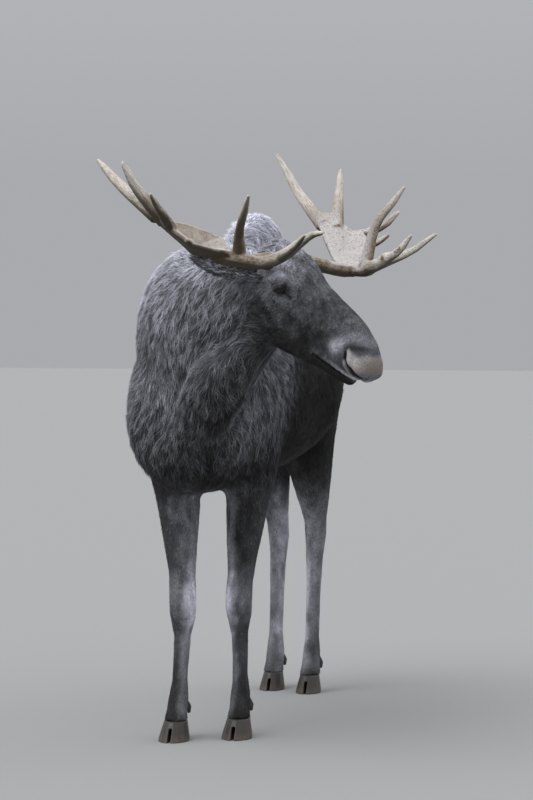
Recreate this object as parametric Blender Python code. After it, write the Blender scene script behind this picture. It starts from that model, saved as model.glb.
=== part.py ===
"""A bull moose, life size, standing still with its head turned to its left.

Metres, +Z up. The animal faces -Y and its left side is +X. The flesh is lofted from
named stations as one body, smoothed, and parted by thin cuts where its parts are named.
Every outline is that of the coat's tips.
"""
import math

import bpy
import bmesh
import numpy as np
from mathutils import Matrix, Vector

UP = Vector((0, 0, 1))
FORWARD = Vector((0, -1, 0))
LEFT = Vector((1, 0, 0))

# ---------------------------------------------------------------- driving dimensions
GAP = 0.0004              # clearance between pieces that touch
SMALLEST = 0.0001         # an edge shorter than this is closed up after a cut
CORONET = 0.074           # height at which a leg ends and its hoof begins
BODY_TRIANGLES = 3700     # the flesh before it is parted
ANTLER_TRIANGLES = 1060   # one antler before it is split at its forks
BODY_VOXEL = 0.012        # fineness of the skin before it is thinned
ANTLER_VOXEL = 0.0045
BODY_SMOOTHING = 12       # rounds of smoothing where the lofts meet
ANTLER_SMOOTHING = 5

HEAD_ORIGIN = Vector((0.393, -0.412, 1.800))   # on the crown, between the antlers
HEAD_YAW = math.radians(-27.7)                 # head's forward line, turned from +X
HEAD_PITCH = math.radians(35.0)                # the face slopes down by this
ANTLER_ORIGIN = Vector((0.305, -0.366, 1.790)) # behind the crown, between the beams
ANTLER_ROLL = math.radians(1.6)                # the left antler is carried higher

EYE_RADIUS = 0.0215
EYE_PLACE = (0.100, 0.0850, -0.051)            # forward, outward, up in the head's frame
EYE_SOCKET = 0.0008                            # clearance round the eyeball

# Trunk: middle x, y, level of the widest line, half width, rise to the back, drop to
# the belly, lean of the ridge to the left for each metre of height, narrowing to the ridge
TRUNK = [
    (-0.030, -0.345, 1.215, 0.090, 0.120, 0.120, 0.00, 1.0),   # breast
    (-0.040, -0.255, 1.235, 0.205, 0.300, 0.250, 0.00, 1.0),   # point of the shoulder
    (-0.043, -0.100, 1.240, 0.262, 0.480, 0.310, 0.06, 1.0),   # shoulder
    (-0.035, 0.080, 1.245, 0.302, 0.575, 0.322, 0.10, 1.0),    # withers
    (-0.020, 0.260, 1.250, 0.304, 0.645, 0.317, 0.12, 1.1),
    (-0.010, 0.400, 1.255, 0.305, 0.660, 0.312, 0.12, 1.1),
    (0.000, 0.560, 1.270, 0.312, 0.620, 0.310, 0.09, 1.1),
    (0.010, 0.750, 1.290, 0.320, 0.570, 0.300, 0.04, 1.1),     # middle of the back
    (0.005, 0.940, 1.330, 0.300, 0.510, 0.298, 0.00, 1.1),     # loin
    (0.000, 1.120, 1.380, 0.260, 0.460, 0.290, 0.00, 1.1),     # hip
    (0.000, 1.290, 1.400, 0.218, 0.405, 0.260, 0.00, 1.1),     # croup
    (0.000, 1.430, 1.410, 0.165, 0.300, 0.210, 0.00, 1.0),
    (0.000, 1.520, 1.410, 0.085, 0.150, 0.130, 0.00, 1.0),     # buttocks
]

# Hump over the shoulders: middle x, y, z, half width, rise, drop
HUMP = [
    (0.030, 0.000, 1.710, 0.078, 0.080, 0.100),
    (0.062, 0.150, 1.790, 0.092, 0.115, 0.200),
    (0.084, 0.310, 1.862, 0.088, 0.138, 0.250),
    (0.080, 0.450, 1.858, 0.092, 0.130, 0.250),
    (0.064, 0.620, 1.805, 0.104, 0.105, 0.200),
    (0.040, 0.800, 1.755, 0.110, 0.085, 0.150),
    (0.020, 1.000, 1.710, 0.090, 0.070, 0.120),
]

# Neck: middle x, y, z, half width, rise, drop
NECK = [
    (-0.010, 0.300, 1.420, 0.140, 0.260, 0.260),
    (-0.025, 0.120, 1.480, 0.232, 0.375, 0.350),
    (-0.025, -0.060, 1.510, 0.246, 0.365, 0.340),
    (0.035, -0.185, 1.555, 0.222, 0.330, 0.320),
    (0.125, -0.275, 1.600, 0.185, 0.285, 0.285),
    (0.225, -0.335, 1.640, 0.145, 0.238, 0.225),
    (0.330, -0.390, 1.680, 0.112, 0.150, 0.160),
]
NECK_CREST = 1.0          # narrowing of the neck to its crest

# Throat ruff, hanging below the neck from the jaw to the breast
RUFF = [
    (0.300, -0.415, 1.530, 0.060, 0.060, 0.060),
    (0.190, -0.410, 1.430, 0.096, 0.100, 0.090),
    (0.120, -0.375, 1.335, 0.115, 0.110, 0.110),
    (0.062, -0.330, 1.245, 0.108, 0.100, 0.105),
    (0.003, -0.280, 1.155, 0.095, 0.090, 0.090),
    (-0.025, -0.230, 1.080, 0.050, 0.050, 0.050),
]
RUFF_FRONT = Vector((0.35, -0.8, 0))           # the way the ruff faces

# Skull and face in the head's frame: forward, up, half width, rise, drop
FACE = [
    (-0.080, -0.070, 0.060, 0.075, 0.070),
    (-0.020, -0.045, 0.088, 0.110, 0.120),     # crown
    (0.060, -0.045, 0.098, 0.118, 0.165),      # brow
    (0.110, -0.052, 0.101, 0.108, 0.190),      # eyes
    (0.180, -0.062, 0.088, 0.102, 0.190),      # cheeks
    (0.270, -0.068, 0.069, 0.106, 0.150),
    (0.350, -0.072, 0.061, 0.110, 0.110),      # bridge of the nose
    (0.430, -0.076, 0.067, 0.103, 0.078),
    (0.490, -0.084, 0.072, 0.082, 0.068),      # nostrils
    (0.540, -0.096, 0.066, 0.056, 0.054),
    (0.574, -0.106, 0.044, 0.032, 0.034),      # tip of the muzzle
]

# Lower jaw in the head's frame
JAW = [
    (0.060, -0.170, 0.066, 0.080, 0.065),
    (0.140, -0.190, 0.074, 0.080, 0.078),      # angle of the jaw
    (0.240, -0.190, 0.062, 0.060, 0.062),
    (0.340, -0.176, 0.047, 0.040, 0.048),
    (0.430, -0.168, 0.042, 0.030, 0.039),
    (0.485, -0.172, 0.037, 0.026, 0.029),      # chin
    (0.512, -0.172, 0.020, 0.014, 0.016),
]

# Legs: share of the way from the top's place to the foot's, y from there, z,
# half width, reach forward, reach back
FRONT_LEG = [
    (-0.05, 0.200, 1.620, 0.060, 0.110, 0.110),    # shoulder blade
    (-0.10, 0.120, 1.440, 0.105, 0.190, 0.170),
    (-0.05, 0.060, 1.230, 0.125, 0.220, 0.190),    # point of the shoulder
    (0.20, 0.090, 1.040, 0.104, 0.150, 0.150),     # elbow
    (0.60, 0.080, 0.900, 0.086, 0.104, 0.110),
    (0.95, 0.050, 0.750, 0.069, 0.074, 0.080),     # forearm
    (1.20, 0.030, 0.630, 0.055, 0.056, 0.058),
    (1.34, 0.018, 0.545, 0.054, 0.062, 0.050),     # knee
    (1.36, 0.016, 0.475, 0.053, 0.060, 0.050),
    (1.29, 0.020, 0.400, 0.037, 0.041, 0.042),
    (1.20, 0.018, 0.310, 0.033, 0.036, 0.040),     # cannon
    (1.10, 0.012, 0.215, 0.034, 0.036, 0.041),
    (1.03, 0.006, 0.155, 0.042, 0.043, 0.052),     # fetlock
    (1.00, -0.010, 0.110, 0.042, 0.045, 0.047),    # pastern
    (1.00, -0.026, 0.066, 0.052, 0.056, 0.050),
    (1.00, -0.030, 0.050, 0.052, 0.056, 0.050),
]
HIND_LEG = [
    (-0.10, -0.180, 1.560, 0.080, 0.130, 0.130),   # hip
    (0.00, -0.110, 1.420, 0.115, 0.220, 0.325),
    (0.00, -0.100, 1.240, 0.120, 0.230, 0.335),    # thigh
    (0.10, -0.110, 1.080, 0.104, 0.190, 0.295),    # stifle
    (0.30, -0.060, 0.950, 0.086, 0.125, 0.245),
    (0.50, 0.010, 0.830, 0.069, 0.080, 0.143),     # gaskin
    (0.75, 0.070, 0.730, 0.051, 0.056, 0.076),
    (0.90, 0.088, 0.655, 0.047, 0.052, 0.062),     # hock
    (1.00, 0.072, 0.560, 0.039, 0.044, 0.047),
    (1.00, 0.052, 0.400, 0.034, 0.036, 0.040),     # cannon
    (1.00, 0.034, 0.240, 0.034, 0.035, 0.040),
    (1.00, 0.022, 0.160, 0.042, 0.043, 0.052),     # fetlock
    (1.00, 0.004, 0.112, 0.042, 0.045, 0.047),     # pastern
    (1.00, -0.016, 0.066, 0.051, 0.055, 0.050),
    (1.00, -0.020, 0.050, 0.051, 0.055, 0.050),
]

# Stance: leg, x and y of the top, x and y of the foot
STANCE = {
    "leg_front_left": (FRONT_LEG, (0.135, 0.000), (0.100, 0.045)),
    "leg_front_right": (FRONT_LEG, (-0.185, 0.000), (-0.115, -0.070)),
    "leg_hind_left": (HIND_LEG, (0.095, 1.270), (0.085, 1.270)),
    "leg_hind_right": (HIND_LEG, (-0.098, 1.270), (-0.088, 1.325)),
}
# Point of the hock: y from the foot, z, half width, half thickness
HOCK = [
    (0.075, 0.645, 0.030, 0.030),
    (0.120, 0.715, 0.030, 0.024),
    (0.130, 0.750, 0.020, 0.015),
]

# Cuts: a point on the plane, the way the part lies from it, half sizes and depth of its room
HEAD_CUT = ((-0.055, 0.0, -0.080), (0.80, 0.0, 0.60), 0.30, 0.45, 1.2)   # in the head's frame
NECK_CUT = ((-0.020, -0.085, 1.500), (0.35, -0.93, 0.28), 0.60, 0.62, 1.2)
TAIL_CUT = ((0.0, 1.505, 1.548), (0.0, 0.75, -0.66), 0.08, 0.10, 0.3)
# Cuts below the trunk: level at the midline and far outside it, from y to y
MIDLINE = -0.015
MIDLINE_GAP = 0.001
CUT_WIDTH = 0.400
BELOW = -0.1                                   # deeper than the ground
FRONT_CUT = (0.878, 1.105, -0.200, 0.270)
HIND_CUT = (1.030, 1.260, 0.950, 1.700)

TAIL = [
    (0.000, 1.450, 1.615, 0.045, 0.045, 0.045),
    (0.000, 1.530, 1.560, 0.042, 0.036, 0.036),
    (0.000, 1.567, 1.490, 0.036, 0.030, 0.030),
    (0.000, 1.573, 1.430, 0.016, 0.014, 0.014),
]

# Ear in the head's frame, swept back below the antler: forward, outward, up,
# half width, half thickness
EAR = [
    (-0.020, 0.065, -0.078, 0.026, 0.022),
    (-0.045, 0.112, -0.088, 0.036, 0.026),
    (-0.085, 0.166, -0.098, 0.047, 0.022),
    (-0.125, 0.212, -0.106, 0.043, 0.017),
    (-0.160, 0.244, -0.112, 0.025, 0.011),
    (-0.180, 0.260, -0.115, 0.008, 0.006),
]
EAR_FACING = (0.35, 0.25, 0.90)                # the way the ear's open side faces

# Antlers: forward, outward and up from the antler origin, on the left side; radius
BEAM = [
    (0.085, 0.050, 0.000, 0.036),
    (0.096, 0.105, 0.004, 0.031),
    (0.094, 0.200, -0.010, 0.026),
    (0.098, 0.300, -0.026, 0.027),
    (0.105, 0.370, -0.028, 0.028),
]
PALM_HUB = (0.030, 0.405, 0.022)
PALM_RIM = [
    (0.070, 0.300, 0.000),     # inner side, from the beam
    (-0.018, 0.366, 0.054),
    (-0.085, 0.408, 0.115),
    (-0.152, 0.445, 0.185),    # foot of the rear tine
    (-0.092, 0.480, 0.182),
    (-0.045, 0.493, 0.140),
    (-0.012, 0.508, 0.113),
    (0.020, 0.521, 0.117),     # foot of the outer tine
    (0.060, 0.505, 0.086),
    (0.092, 0.482, 0.060),
    (0.135, 0.425, 0.032),
    (0.180, 0.365, 0.022),
    (0.160, 0.330, -0.030),
]
BROW = [
    (0.100, 0.350, -0.024, 0.027),
    (0.180, 0.345, -0.028, 0.027),
    (0.255, 0.300, -0.016, 0.024),
    (0.330, 0.258, -0.002, 0.021),
    (0.372, 0.236, 0.020, 0.018),
]
PALM_THICKNESS = 0.034
PALM_EDGE = 0.5           # share of that thickness left at the rim
TINE_END = 0.0065
# Tines: foot, a point half way, tip, radius at the foot
TINES = [
    ((-0.105, 0.448, 0.140), (-0.245, 0.476, 0.247), (-0.369, 0.482, 0.405), 0.030),
    ((-0.055, 0.462, 0.125), (-0.108, 0.542, 0.247), (-0.136, 0.589, 0.363), 0.028),
    ((0.005, 0.490, 0.088), (0.056, 0.606, 0.150), (0.083, 0.674, 0.221), 0.022),
    ((0.065, 0.465, 0.050), (0.106, 0.518, 0.075), (0.130, 0.552, 0.102), 0.019),
    ((0.185, 0.340, -0.015), (0.213, 0.370, 0.122), (0.312, 0.425, 0.259), 0.026),
    ((0.325, 0.258, -0.002), (0.425, 0.238, 0.038), (0.488, 0.243, 0.102), 0.021),
    ((0.310, 0.270, -0.008), (0.415, 0.315, 0.033), (0.508, 0.361, 0.099), 0.021),
]
# The two sides aren't quite alike: a tip is this much higher on the left, lower on the right
TINE_LIFT = (0.018, -0.006, -0.030, 0.000, 0.018, -0.004, 0.000)
# and the right antler's other points are raised by these: its palm is flatter, its rear edge high
BEAM_RAISE = (0.000, 0.008, 0.018, 0.050, 0.060)
HUB_RAISE = 0.030
RIM_RAISE = (0.092, 0.085, 0.044, 0.003, 0.012, 0.026, 0.030, 0.014, 0.016, 0.013, 0.020, 0.018, 0.042)
BROW_RAISE = (0.056, 0.048, 0.022, 0.036, 0.052)
TINE_RAISE = [             # at the foot and half way
    (0.034, 0.042), (0.030, 0.018), (0.045, 0.034), (0.028, 0.020),
    (0.050, 0.000), (0.036, 0.056), (0.034, 0.022),
]
TINE_SLIMMING = (1.0, 0.66, 0.50)              # of that radius: at the foot and on the way
# The right antler's broken knob: its tine is this much shorter
BROKEN_TINE = 3
BROKEN_SHARE = 0.45
FORK_OUT = 0.300            # outward of this the beam ends
FORK_FORWARD = 0.150        # forward of this the brow fork begins
ANTLER_ROOM = ((-0.6, -0.1, -0.3), (0.8, 1.0, 0.7))   # more than one antler fills
ANTLER_UP = Vector((0.31, 0.22, 0.92))                # no tine runs along this line

# Hooves, fore and hind: length, width, the coronet's middle aft of the foot
FORE_HOOF = (0.150, 0.118, -0.026)
HIND_HOOF = (0.142, 0.108, -0.016)
HOOF_SLOPE = 0.028          # the sole's middle lies this far forward of the coronet's
HOOF_LEVELS = [             # share of the coronet's height, of the length, of the width
    (0.00, 1.000, 1.00),
    (0.24, 0.985, 0.97),
    (0.61, 0.900, 0.86),
    (1.00, 0.780, 0.74),
]
HOOF_TOE = 0.16             # narrowing towards the toe
CLEFT = 0.012               # width of the cleft between the two claws
CLEFT_BACK = 0.030          # it reaches this far behind the sole's middle
CLEFT_HEIGHT = 0.050
# Dewclaws: outward from the leg's middle, y from the foot, z, half width, half thickness
DEWCLAW = [
    (0.020, 0.020, 0.142, 0.016, 0.016),
    (0.024, 0.054, 0.116, 0.016, 0.014),
    (0.026, 0.066, 0.090, 0.007, 0.006),
]
HIND_DEWCLAW = 0.016        # the hind ones lie this much further back

FUR = (0.075, 0.073, 0.080, 1.0)
FUR_PALE = (0.22, 0.21, 0.21, 1.0)
HORN = (0.030, 0.027, 0.025, 1.0)
ANTLER_BONE = (0.42, 0.37, 0.31, 1.0)
EYE_DARK = (0.012, 0.008, 0.006, 1.0)


# ---------------------------------------------------------------- scene and materials
def clear_scene():
    for old in list(bpy.data.objects):
        bpy.data.objects.remove(old, do_unlink=True)


def material(name, colour, roughness):
    made = bpy.data.materials.get(name) or bpy.data.materials.new(name)
    made.use_nodes = True
    shader = made.node_tree.nodes["Principled BSDF"]
    shader.inputs["Base Color"].default_value = colour
    shader.inputs["Roughness"].default_value = roughness
    shader.inputs["Metallic"].default_value = 0.0
    return made


def add_object(name, mesh, finish=None):
    made = bpy.data.objects.new(name, mesh)
    bpy.context.scene.collection.objects.link(made)
    if finish is not None:
        made.data.materials.clear()
        made.data.materials.append(finish)
    return made


# ---------------------------------------------------------------- lofting
def smooth_rows(rows, steps):
    """Rows in between the given ones, on a Catmull-Rom curve through them."""
    table = np.array(rows, dtype=float)
    padded = np.vstack([2 * table[0] - table[1], table, 2 * table[-1] - table[-2]])
    out = []
    for i in range(len(table) - 1):
        a, b, c, d = padded[i:i + 4]
        for k in range(steps):
            t = k / steps
            out.append(0.5 * (2 * b + (c - a) * t + (2 * a - 5 * b + 4 * c - d) * t ** 2
                              + (3 * b - a - 3 * c + d) * t ** 3))
    out.append(table[-1])
    return out


def loft(bm, sections):
    """A closed tube through rings of points, with a pole at each end."""
    rings = [[bm.verts.new(p) for p in ring] for ring in sections]
    count = len(rings[0])
    for lower, upper in zip(rings, rings[1:]):
        for i in range(count):
            j = (i + 1) % count
            bm.faces.new((lower[i], lower[j], upper[j], upper[i]))
    for ring, points, turn in ((rings[0], sections[0], -1), (rings[-1], sections[-1], 1)):
        pole = bm.verts.new(sum(points, Vector()) / count)
        for i in range(count):
            j = (i + 1) % count
            bm.faces.new((ring[i], ring[j], pole) if turn > 0 else (ring[j], ring[i], pole))


def oval(middle, across, up, half_width, rise, drop, count=20, narrowing=1.0):
    """A ring of points: an ellipse whose upper half may rise further and narrow to a ridge."""
    ring = []
    for k in range(count):
        angle = 2 * math.pi * k / count
        side, height = math.cos(angle), math.sin(angle)
        if height > 0:
            side = math.copysign(abs(side) ** narrowing, side)
        ring.append(middle + across * (side * half_width)
                    + up * (height * (rise if height > 0 else drop)))
    return ring


def upright(bm, rows, count):
    """A loft of level rings, one above another: half width, reach forward, reach back."""
    loft(bm, [oval(Vector(row[:3]), LEFT, FORWARD, *row[3:6], count)
              for row in smooth_rows(rows, 4)])


def tube(bm, rows, up_hint, steps=4, frame=None, count=20, narrowing=1.0):
    """A loft along rows of (x, y, z, half width, rise, drop)."""
    rows = smooth_rows(rows, steps)
    frame = frame or Matrix.Identity(4)
    middles = [frame @ Vector(row[:3]) for row in rows]
    sections = []
    for i, row in enumerate(rows):
        along = middles[min(i + 1, len(rows) - 1)] - middles[max(i - 1, 0)]
        along.normalize()
        across = along.cross(up_hint).normalized()
        up = across.cross(along).normalized()
        sections.append(oval(middles[i], across, up, *row[3:6], count, narrowing))
    loft(bm, sections)


def finish_mesh(bm, name):
    bmesh.ops.recalc_face_normals(bm, faces=bm.faces)
    mesh = bpy.data.meshes.new(name)
    bm.to_mesh(mesh)
    bm.free()
    return mesh


# ---------------------------------------------------------------- frames
def head_frame():
    """Columns: forward along the face, outward to the left, up from the face."""
    level_forward = Vector((math.cos(HEAD_YAW), math.sin(HEAD_YAW), 0))
    left = Vector((-math.sin(HEAD_YAW), math.cos(HEAD_YAW), 0))
    down = math.sin(HEAD_PITCH)
    flat = math.cos(HEAD_PITCH)
    forward = level_forward * flat - UP * down
    up = level_forward * down + UP * flat
    turn = Matrix((forward, left, up)).transposed().to_4x4()
    return Matrix.Translation(HEAD_ORIGIN) @ turn


def antler_frame(side):
    """Level frame of one antler: forward, outward to its side, up; rolled with the head."""
    forward = Vector((math.cos(HEAD_YAW), math.sin(HEAD_YAW), 0))
    outward = Vector((-math.sin(HEAD_YAW), math.cos(HEAD_YAW), 0)) * side
    turn = Matrix((forward, outward, UP)).transposed().to_4x4()
    roll = Matrix.Rotation(ANTLER_ROLL, 4, forward)
    return Matrix.Translation(ANTLER_ORIGIN) @ roll @ turn


# ---------------------------------------------------------------- flesh
def trunk_sections():
    sections = []
    for x, y, level, half_width, rise, drop, lean, narrowing in smooth_rows(TRUNK, 4):
        ring = oval(Vector((x, y, level)), LEFT, UP, half_width, rise, drop, 32, narrowing)
        sections.append([p + LEFT * (lean * (p.z - level)) for p in ring])
    return sections


def leg_rows(name):
    rows, top, foot = STANCE[name]
    return [(top[0] + (foot[0] - top[0]) * share, top[1] + (foot[1] - top[1]) * share + y,
             z, half_width, reach, back)
            for share, y, z, half_width, reach, back in rows]


def flesh_mesh():
    """The whole animal but for its antlers, ears and hooves, as one smooth skin."""
    bm = bmesh.new()
    head = head_frame()
    head_up = head.to_3x3() @ UP
    loft(bm, trunk_sections())
    tube(bm, HUMP, UP, count=18)
    tube(bm, NECK, UP, count=28, narrowing=NECK_CREST)
    tube(bm, RUFF, RUFF_FRONT, count=16)
    for rows in (FACE, JAW):
        tube(bm, [(s, 0, u, w, rise, drop) for s, u, w, rise, drop in rows], head_up,
             frame=head, count=24)
    for name in STANCE:
        upright(bm, leg_rows(name), 18)
    for name in ("leg_hind_left", "leg_hind_right"):
        foot_x, foot_y = STANCE[name][2]
        tube(bm, [(foot_x, foot_y + y, z, w, t, t) for y, z, w, t in HOCK], FORWARD, count=12)
    tube(bm, TAIL, FORWARD, count=14)
    rough = add_object("flesh", finish_mesh(bm, "flesh"))
    return surface(rough, BODY_VOXEL, BODY_SMOOTHING, BODY_TRIANGLES)


def evaluated(obj):
    bpy.context.view_layer.update()
    depsgraph = bpy.context.evaluated_depsgraph_get()
    return bpy.data.meshes.new_from_object(obj.evaluated_get(depsgraph))


def surface(rough, voxel, smoothing, triangles):
    """One closed skin round the lofts, smoothed, with about the wanted triangles."""
    remesh = rough.modifiers.new("Skin", "REMESH")
    remesh.mode = "VOXEL"
    remesh.voxel_size = voxel
    smooth = rough.modifiers.new("Smooth", "SMOOTH")
    smooth.factor = 0.5
    smooth.iterations = smoothing
    dense = evaluated(rough)
    bpy.data.objects.remove(rough, do_unlink=True)
    holder = add_object("holder", dense)
    thin = holder.modifiers.new("Fewer", "DECIMATE")
    thin.ratio = triangles / (2 * len(dense.polygons))
    thin.use_collapse_triangulate = True
    mesh = evaluated(holder)
    bpy.data.objects.remove(holder, do_unlink=True)
    return largest_shell(mesh)


def largest_shell(mesh):
    """Only the biggest connected body: a crumb left by the cuts is dropped."""
    bm = bmesh.new()
    bm.from_mesh(mesh)
    bm.verts.ensure_lookup_table()
    seen = set()
    shells = []
    for start in bm.verts:
        if start.index in seen:
            continue
        shell = []
        stack = [start]
        seen.add(start.index)
        while stack:
            vert = stack.pop()
            shell.append(vert)
            for edge in vert.link_edges:
                other = edge.other_vert(vert)
                if other.index not in seen:
                    seen.add(other.index)
                    stack.append(other)
        shells.append(shell)
    shells.sort(key=len)
    for shell in shells[:-1]:
        bmesh.ops.delete(bm, geom=shell, context="VERTS")
    bm.to_mesh(mesh)
    bm.free()
    return mesh


# ---------------------------------------------------------------- cutting
def boolean(mesh, cutter_mesh, operation):
    """The mesh after one exact Boolean with a cutter."""
    target = add_object("target", mesh)
    cutter = add_object("cutter", cutter_mesh)
    cutter.hide_render = True
    cutter.display_type = "WIRE"
    cut = target.modifiers.new("Cut", "BOOLEAN")
    cut.operation = operation
    cut.solver = "EXACT"
    cut.object = cutter
    result = evaluated(target)
    bpy.data.objects.remove(target, do_unlink=True)
    bpy.data.objects.remove(cutter, do_unlink=True)
    return tidy(result)


def tidy(mesh):
    """Triangles only, with no needle left along a cut."""
    bm = bmesh.new()
    bm.from_mesh(mesh)
    bmesh.ops.remove_doubles(bm, verts=bm.verts, dist=SMALLEST)
    bmesh.ops.dissolve_degenerate(bm, dist=SMALLEST, edges=bm.edges)
    bmesh.ops.triangulate(bm, faces=bm.faces)
    bm.to_mesh(mesh)
    bm.free()
    return mesh


def block(frame, low, high):
    """A box between two corners of a frame."""
    bm = bmesh.new()
    bmesh.ops.create_cube(bm, size=1.0)
    size = Vector(high) - Vector(low)
    middle = (Vector(high) + Vector(low)) / 2
    bmesh.ops.transform(bm, verts=bm.verts,
                        matrix=frame @ Matrix.Translation(middle) @ Matrix.Diagonal((*size, 1)))
    return finish_mesh(bm, "block")


def grown(mesh, distance):
    """A copy with every corner moved outward along its normal."""
    copy = mesh.copy()
    bm = bmesh.new()
    bm.from_mesh(copy)
    bm.normal_update()
    for vert in bm.verts:
        vert.co += vert.normal * distance
    bm.to_mesh(copy)
    bm.free()
    return copy


def cut_frame(point, normal):
    """A frame at a point whose z axis is the normal and whose x axis is level."""
    z = Vector(normal).normalized()
    x = UP.cross(z).normalized()
    y = z.cross(x)
    return Matrix.Translation(Vector(point)) @ Matrix((x, y, z)).transposed().to_4x4()


def leg_room(name, slack):
    """The room below a leg's cut, whose plane rises outward from beside the breast."""
    rows, top, _ = STANCE[name]
    side = 1 if top[0] > 0 else -1
    inner_z, outer_z, fore, aft = FRONT_CUT if rows is FRONT_LEG else HIND_CUT
    inner_x = MIDLINE + side * (MIDLINE_GAP - slack)
    outer_x = MIDLINE + side * (CUT_WIDTH + slack)
    corners = [(inner_x, inner_z + slack), (outer_x, outer_z + slack),
               (outer_x, BELOW), (inner_x, BELOW)]
    bm = bmesh.new()
    ends = [[bm.verts.new((x, y, z)) for x, z in corners] for y in (fore - slack, aft + slack)]
    bm.faces.new(ends[0])
    bm.faces.new(ends[1])
    for i in range(4):
        j = (i + 1) % 4
        bm.faces.new((ends[0][i], ends[0][j], ends[1][j], ends[1][i]))
    return finish_mesh(bm, "room")


def part_rooms():
    """For each part of the flesh, the room it fills, and the same room grown by the gap."""
    head = head_frame()
    point, direction, *sizes = HEAD_CUT
    cuts = {
        "head": (head @ Vector(point), head.to_3x3() @ Vector(direction), *sizes),
        "neck": NECK_CUT,
        "tail": TAIL_CUT,
    }
    rooms = {}
    for name, (point, direction, half_a, half_b, depth) in cuts.items():
        frame = cut_frame(point, direction)
        rooms[name] = (block(frame, (-half_a, -half_b, GAP), (half_a, half_b, depth)),
                       block(frame, (-half_a - GAP, -half_b - GAP, 0),
                             (half_a + GAP, half_b + GAP, depth + GAP)))
    for name in STANCE:
        rooms[name] = (leg_room(name, 0.0), leg_room(name, GAP))
    return rooms


def part_flesh(flesh):
    """Part the flesh into its named pieces, each with a thin gap to the next."""
    pieces = {}
    for name, (room, grown_room) in part_rooms().items():
        pieces[name] = largest_shell(boolean(flesh.copy(), room, "INTERSECT"))
        flesh = boolean(flesh, grown_room, "DIFFERENCE")
    pieces["trunk"] = largest_shell(flesh)
    return pieces


# ---------------------------------------------------------------- hooves
def hoof_mesh(name):
    """Two claws joined above their cleft, flat below, sloping forward from the coronet."""
    rows, _, (foot_x, foot_y) = STANCE[name]
    length, width, aft = FORE_HOOF if rows is FRONT_LEG else HIND_HOOF
    sole_y = foot_y + aft - HOOF_SLOPE
    sections = []
    for height, long_share, wide_share in HOOF_LEVELS:
        ring = []
        for k in range(14):
            angle = 2 * math.pi * k / 14
            pointed = 1.0 - HOOF_TOE * max(0.0, -math.sin(angle)) ** 2
            ring.append(Vector((foot_x + math.cos(angle) * width / 2 * wide_share * pointed,
                                sole_y + HOOF_SLOPE * height + math.sin(angle) * length / 2 * long_share,
                                (CORONET - GAP) * height)))
        sections.append(ring)
    bm = bmesh.new()
    loft(bm, sections)
    cleft = block(Matrix.Identity(4), (foot_x - CLEFT / 2, sole_y - length, -CLEFT_HEIGHT),
                  (foot_x + CLEFT / 2, sole_y + CLEFT_BACK, CLEFT_HEIGHT))
    return largest_shell(boolean(finish_mesh(bm, "hoof"), cleft, "DIFFERENCE"))


def dewclaw_mesh(name, side):
    """One of the two small claws behind the fetlock."""
    rows, _, (foot_x, foot_y) = STANCE[name]
    back = foot_y if rows is FRONT_LEG else foot_y + HIND_DEWCLAW
    bm = bmesh.new()
    tube(bm, [(foot_x + side * x, back + y, z, w, t, t) for x, y, z, w, t in DEWCLAW],
         UP, steps=1, count=6)
    return finish_mesh(bm, "dewclaw")


# ---------------------------------------------------------------- ears and eyes
def ear_mesh(side):
    frame = head_frame()
    forward, outward, up = EAR_FACING
    bm = bmesh.new()
    tube(bm, [(f, side * o, u, w, t, t) for f, o, u, w, t in EAR],
         frame.to_3x3() @ Vector((forward, side * outward, up)), steps=1, frame=frame, count=10)
    return finish_mesh(bm, "ear")


def ball(middle, radius):
    bm = bmesh.new()
    bmesh.ops.create_uvsphere(bm, u_segments=10, v_segments=7, radius=radius,
                              matrix=Matrix.Translation(middle))
    return finish_mesh(bm, "ball")


def eye_middle(side):
    forward, outward, up = EYE_PLACE
    return head_frame() @ Vector((forward, side * outward, up))


# ---------------------------------------------------------------- antlers
def raised(rows, lifts, side):
    """Rows of the antler, raised on the right side."""
    return [(x, y, z + (lift if side < 0 else 0.0), *rest)
            for (x, y, z, *rest), lift in zip(rows, lifts)]


def palm_plate(bm, frame, side):
    """The cupped palm: a fan from its hub to its rim, as thick as the bone."""
    hub = frame @ Vector(raised([PALM_HUB], [HUB_RAISE], side)[0])
    rim = [frame @ Vector(p) for p in raised(PALM_RIM, RIM_RAISE, side)]
    count = len(rim)
    normals = []
    for i in range(count):
        normals.append((rim[i] - hub).cross(rim[(i + 1) % count] - hub).normalized())
    mean = sum(normals, Vector()).normalized()
    layers = []
    for sign in (1, -1):
        offset = mean * (sign * PALM_THICKNESS / 2)
        layers.append((bm.verts.new(hub + offset),
                       [bm.verts.new(p + offset * PALM_EDGE) for p in rim]))
    (top_hub, top), (low_hub, low) = layers
    for i in range(count):
        j = (i + 1) % count
        bm.faces.new((top_hub, top[i], top[j]))
        bm.faces.new((low_hub, low[j], low[i]))
        bm.faces.new((top[i], low[i], low[j], top[j]))


def round_tube(bm, rows, frame, steps=4):
    tube(bm, [(x, y, z, r, r, r) for x, y, z, r in rows], ANTLER_UP, steps, frame, 10)


def tine_rows(index, side):
    *points, tip, radius = TINES[index]
    foot, middle = [Vector(p) for p in raised(points, TINE_RAISE[index], side)]
    tip = Vector(tip)
    tip.z += side * TINE_LIFT[index]
    middle.z += side * TINE_LIFT[index] / 2
    if side < 0 and index == BROKEN_TINE:
        tip = foot.lerp(tip, BROKEN_SHARE)
        middle = foot.lerp(tip, 0.5)
    stout, slim, thin = [radius * share for share in TINE_SLIMMING]
    return [(*foot, stout), (*middle, slim), (*middle.lerp(tip, 0.6), thin), (*tip, TINE_END)]


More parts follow.
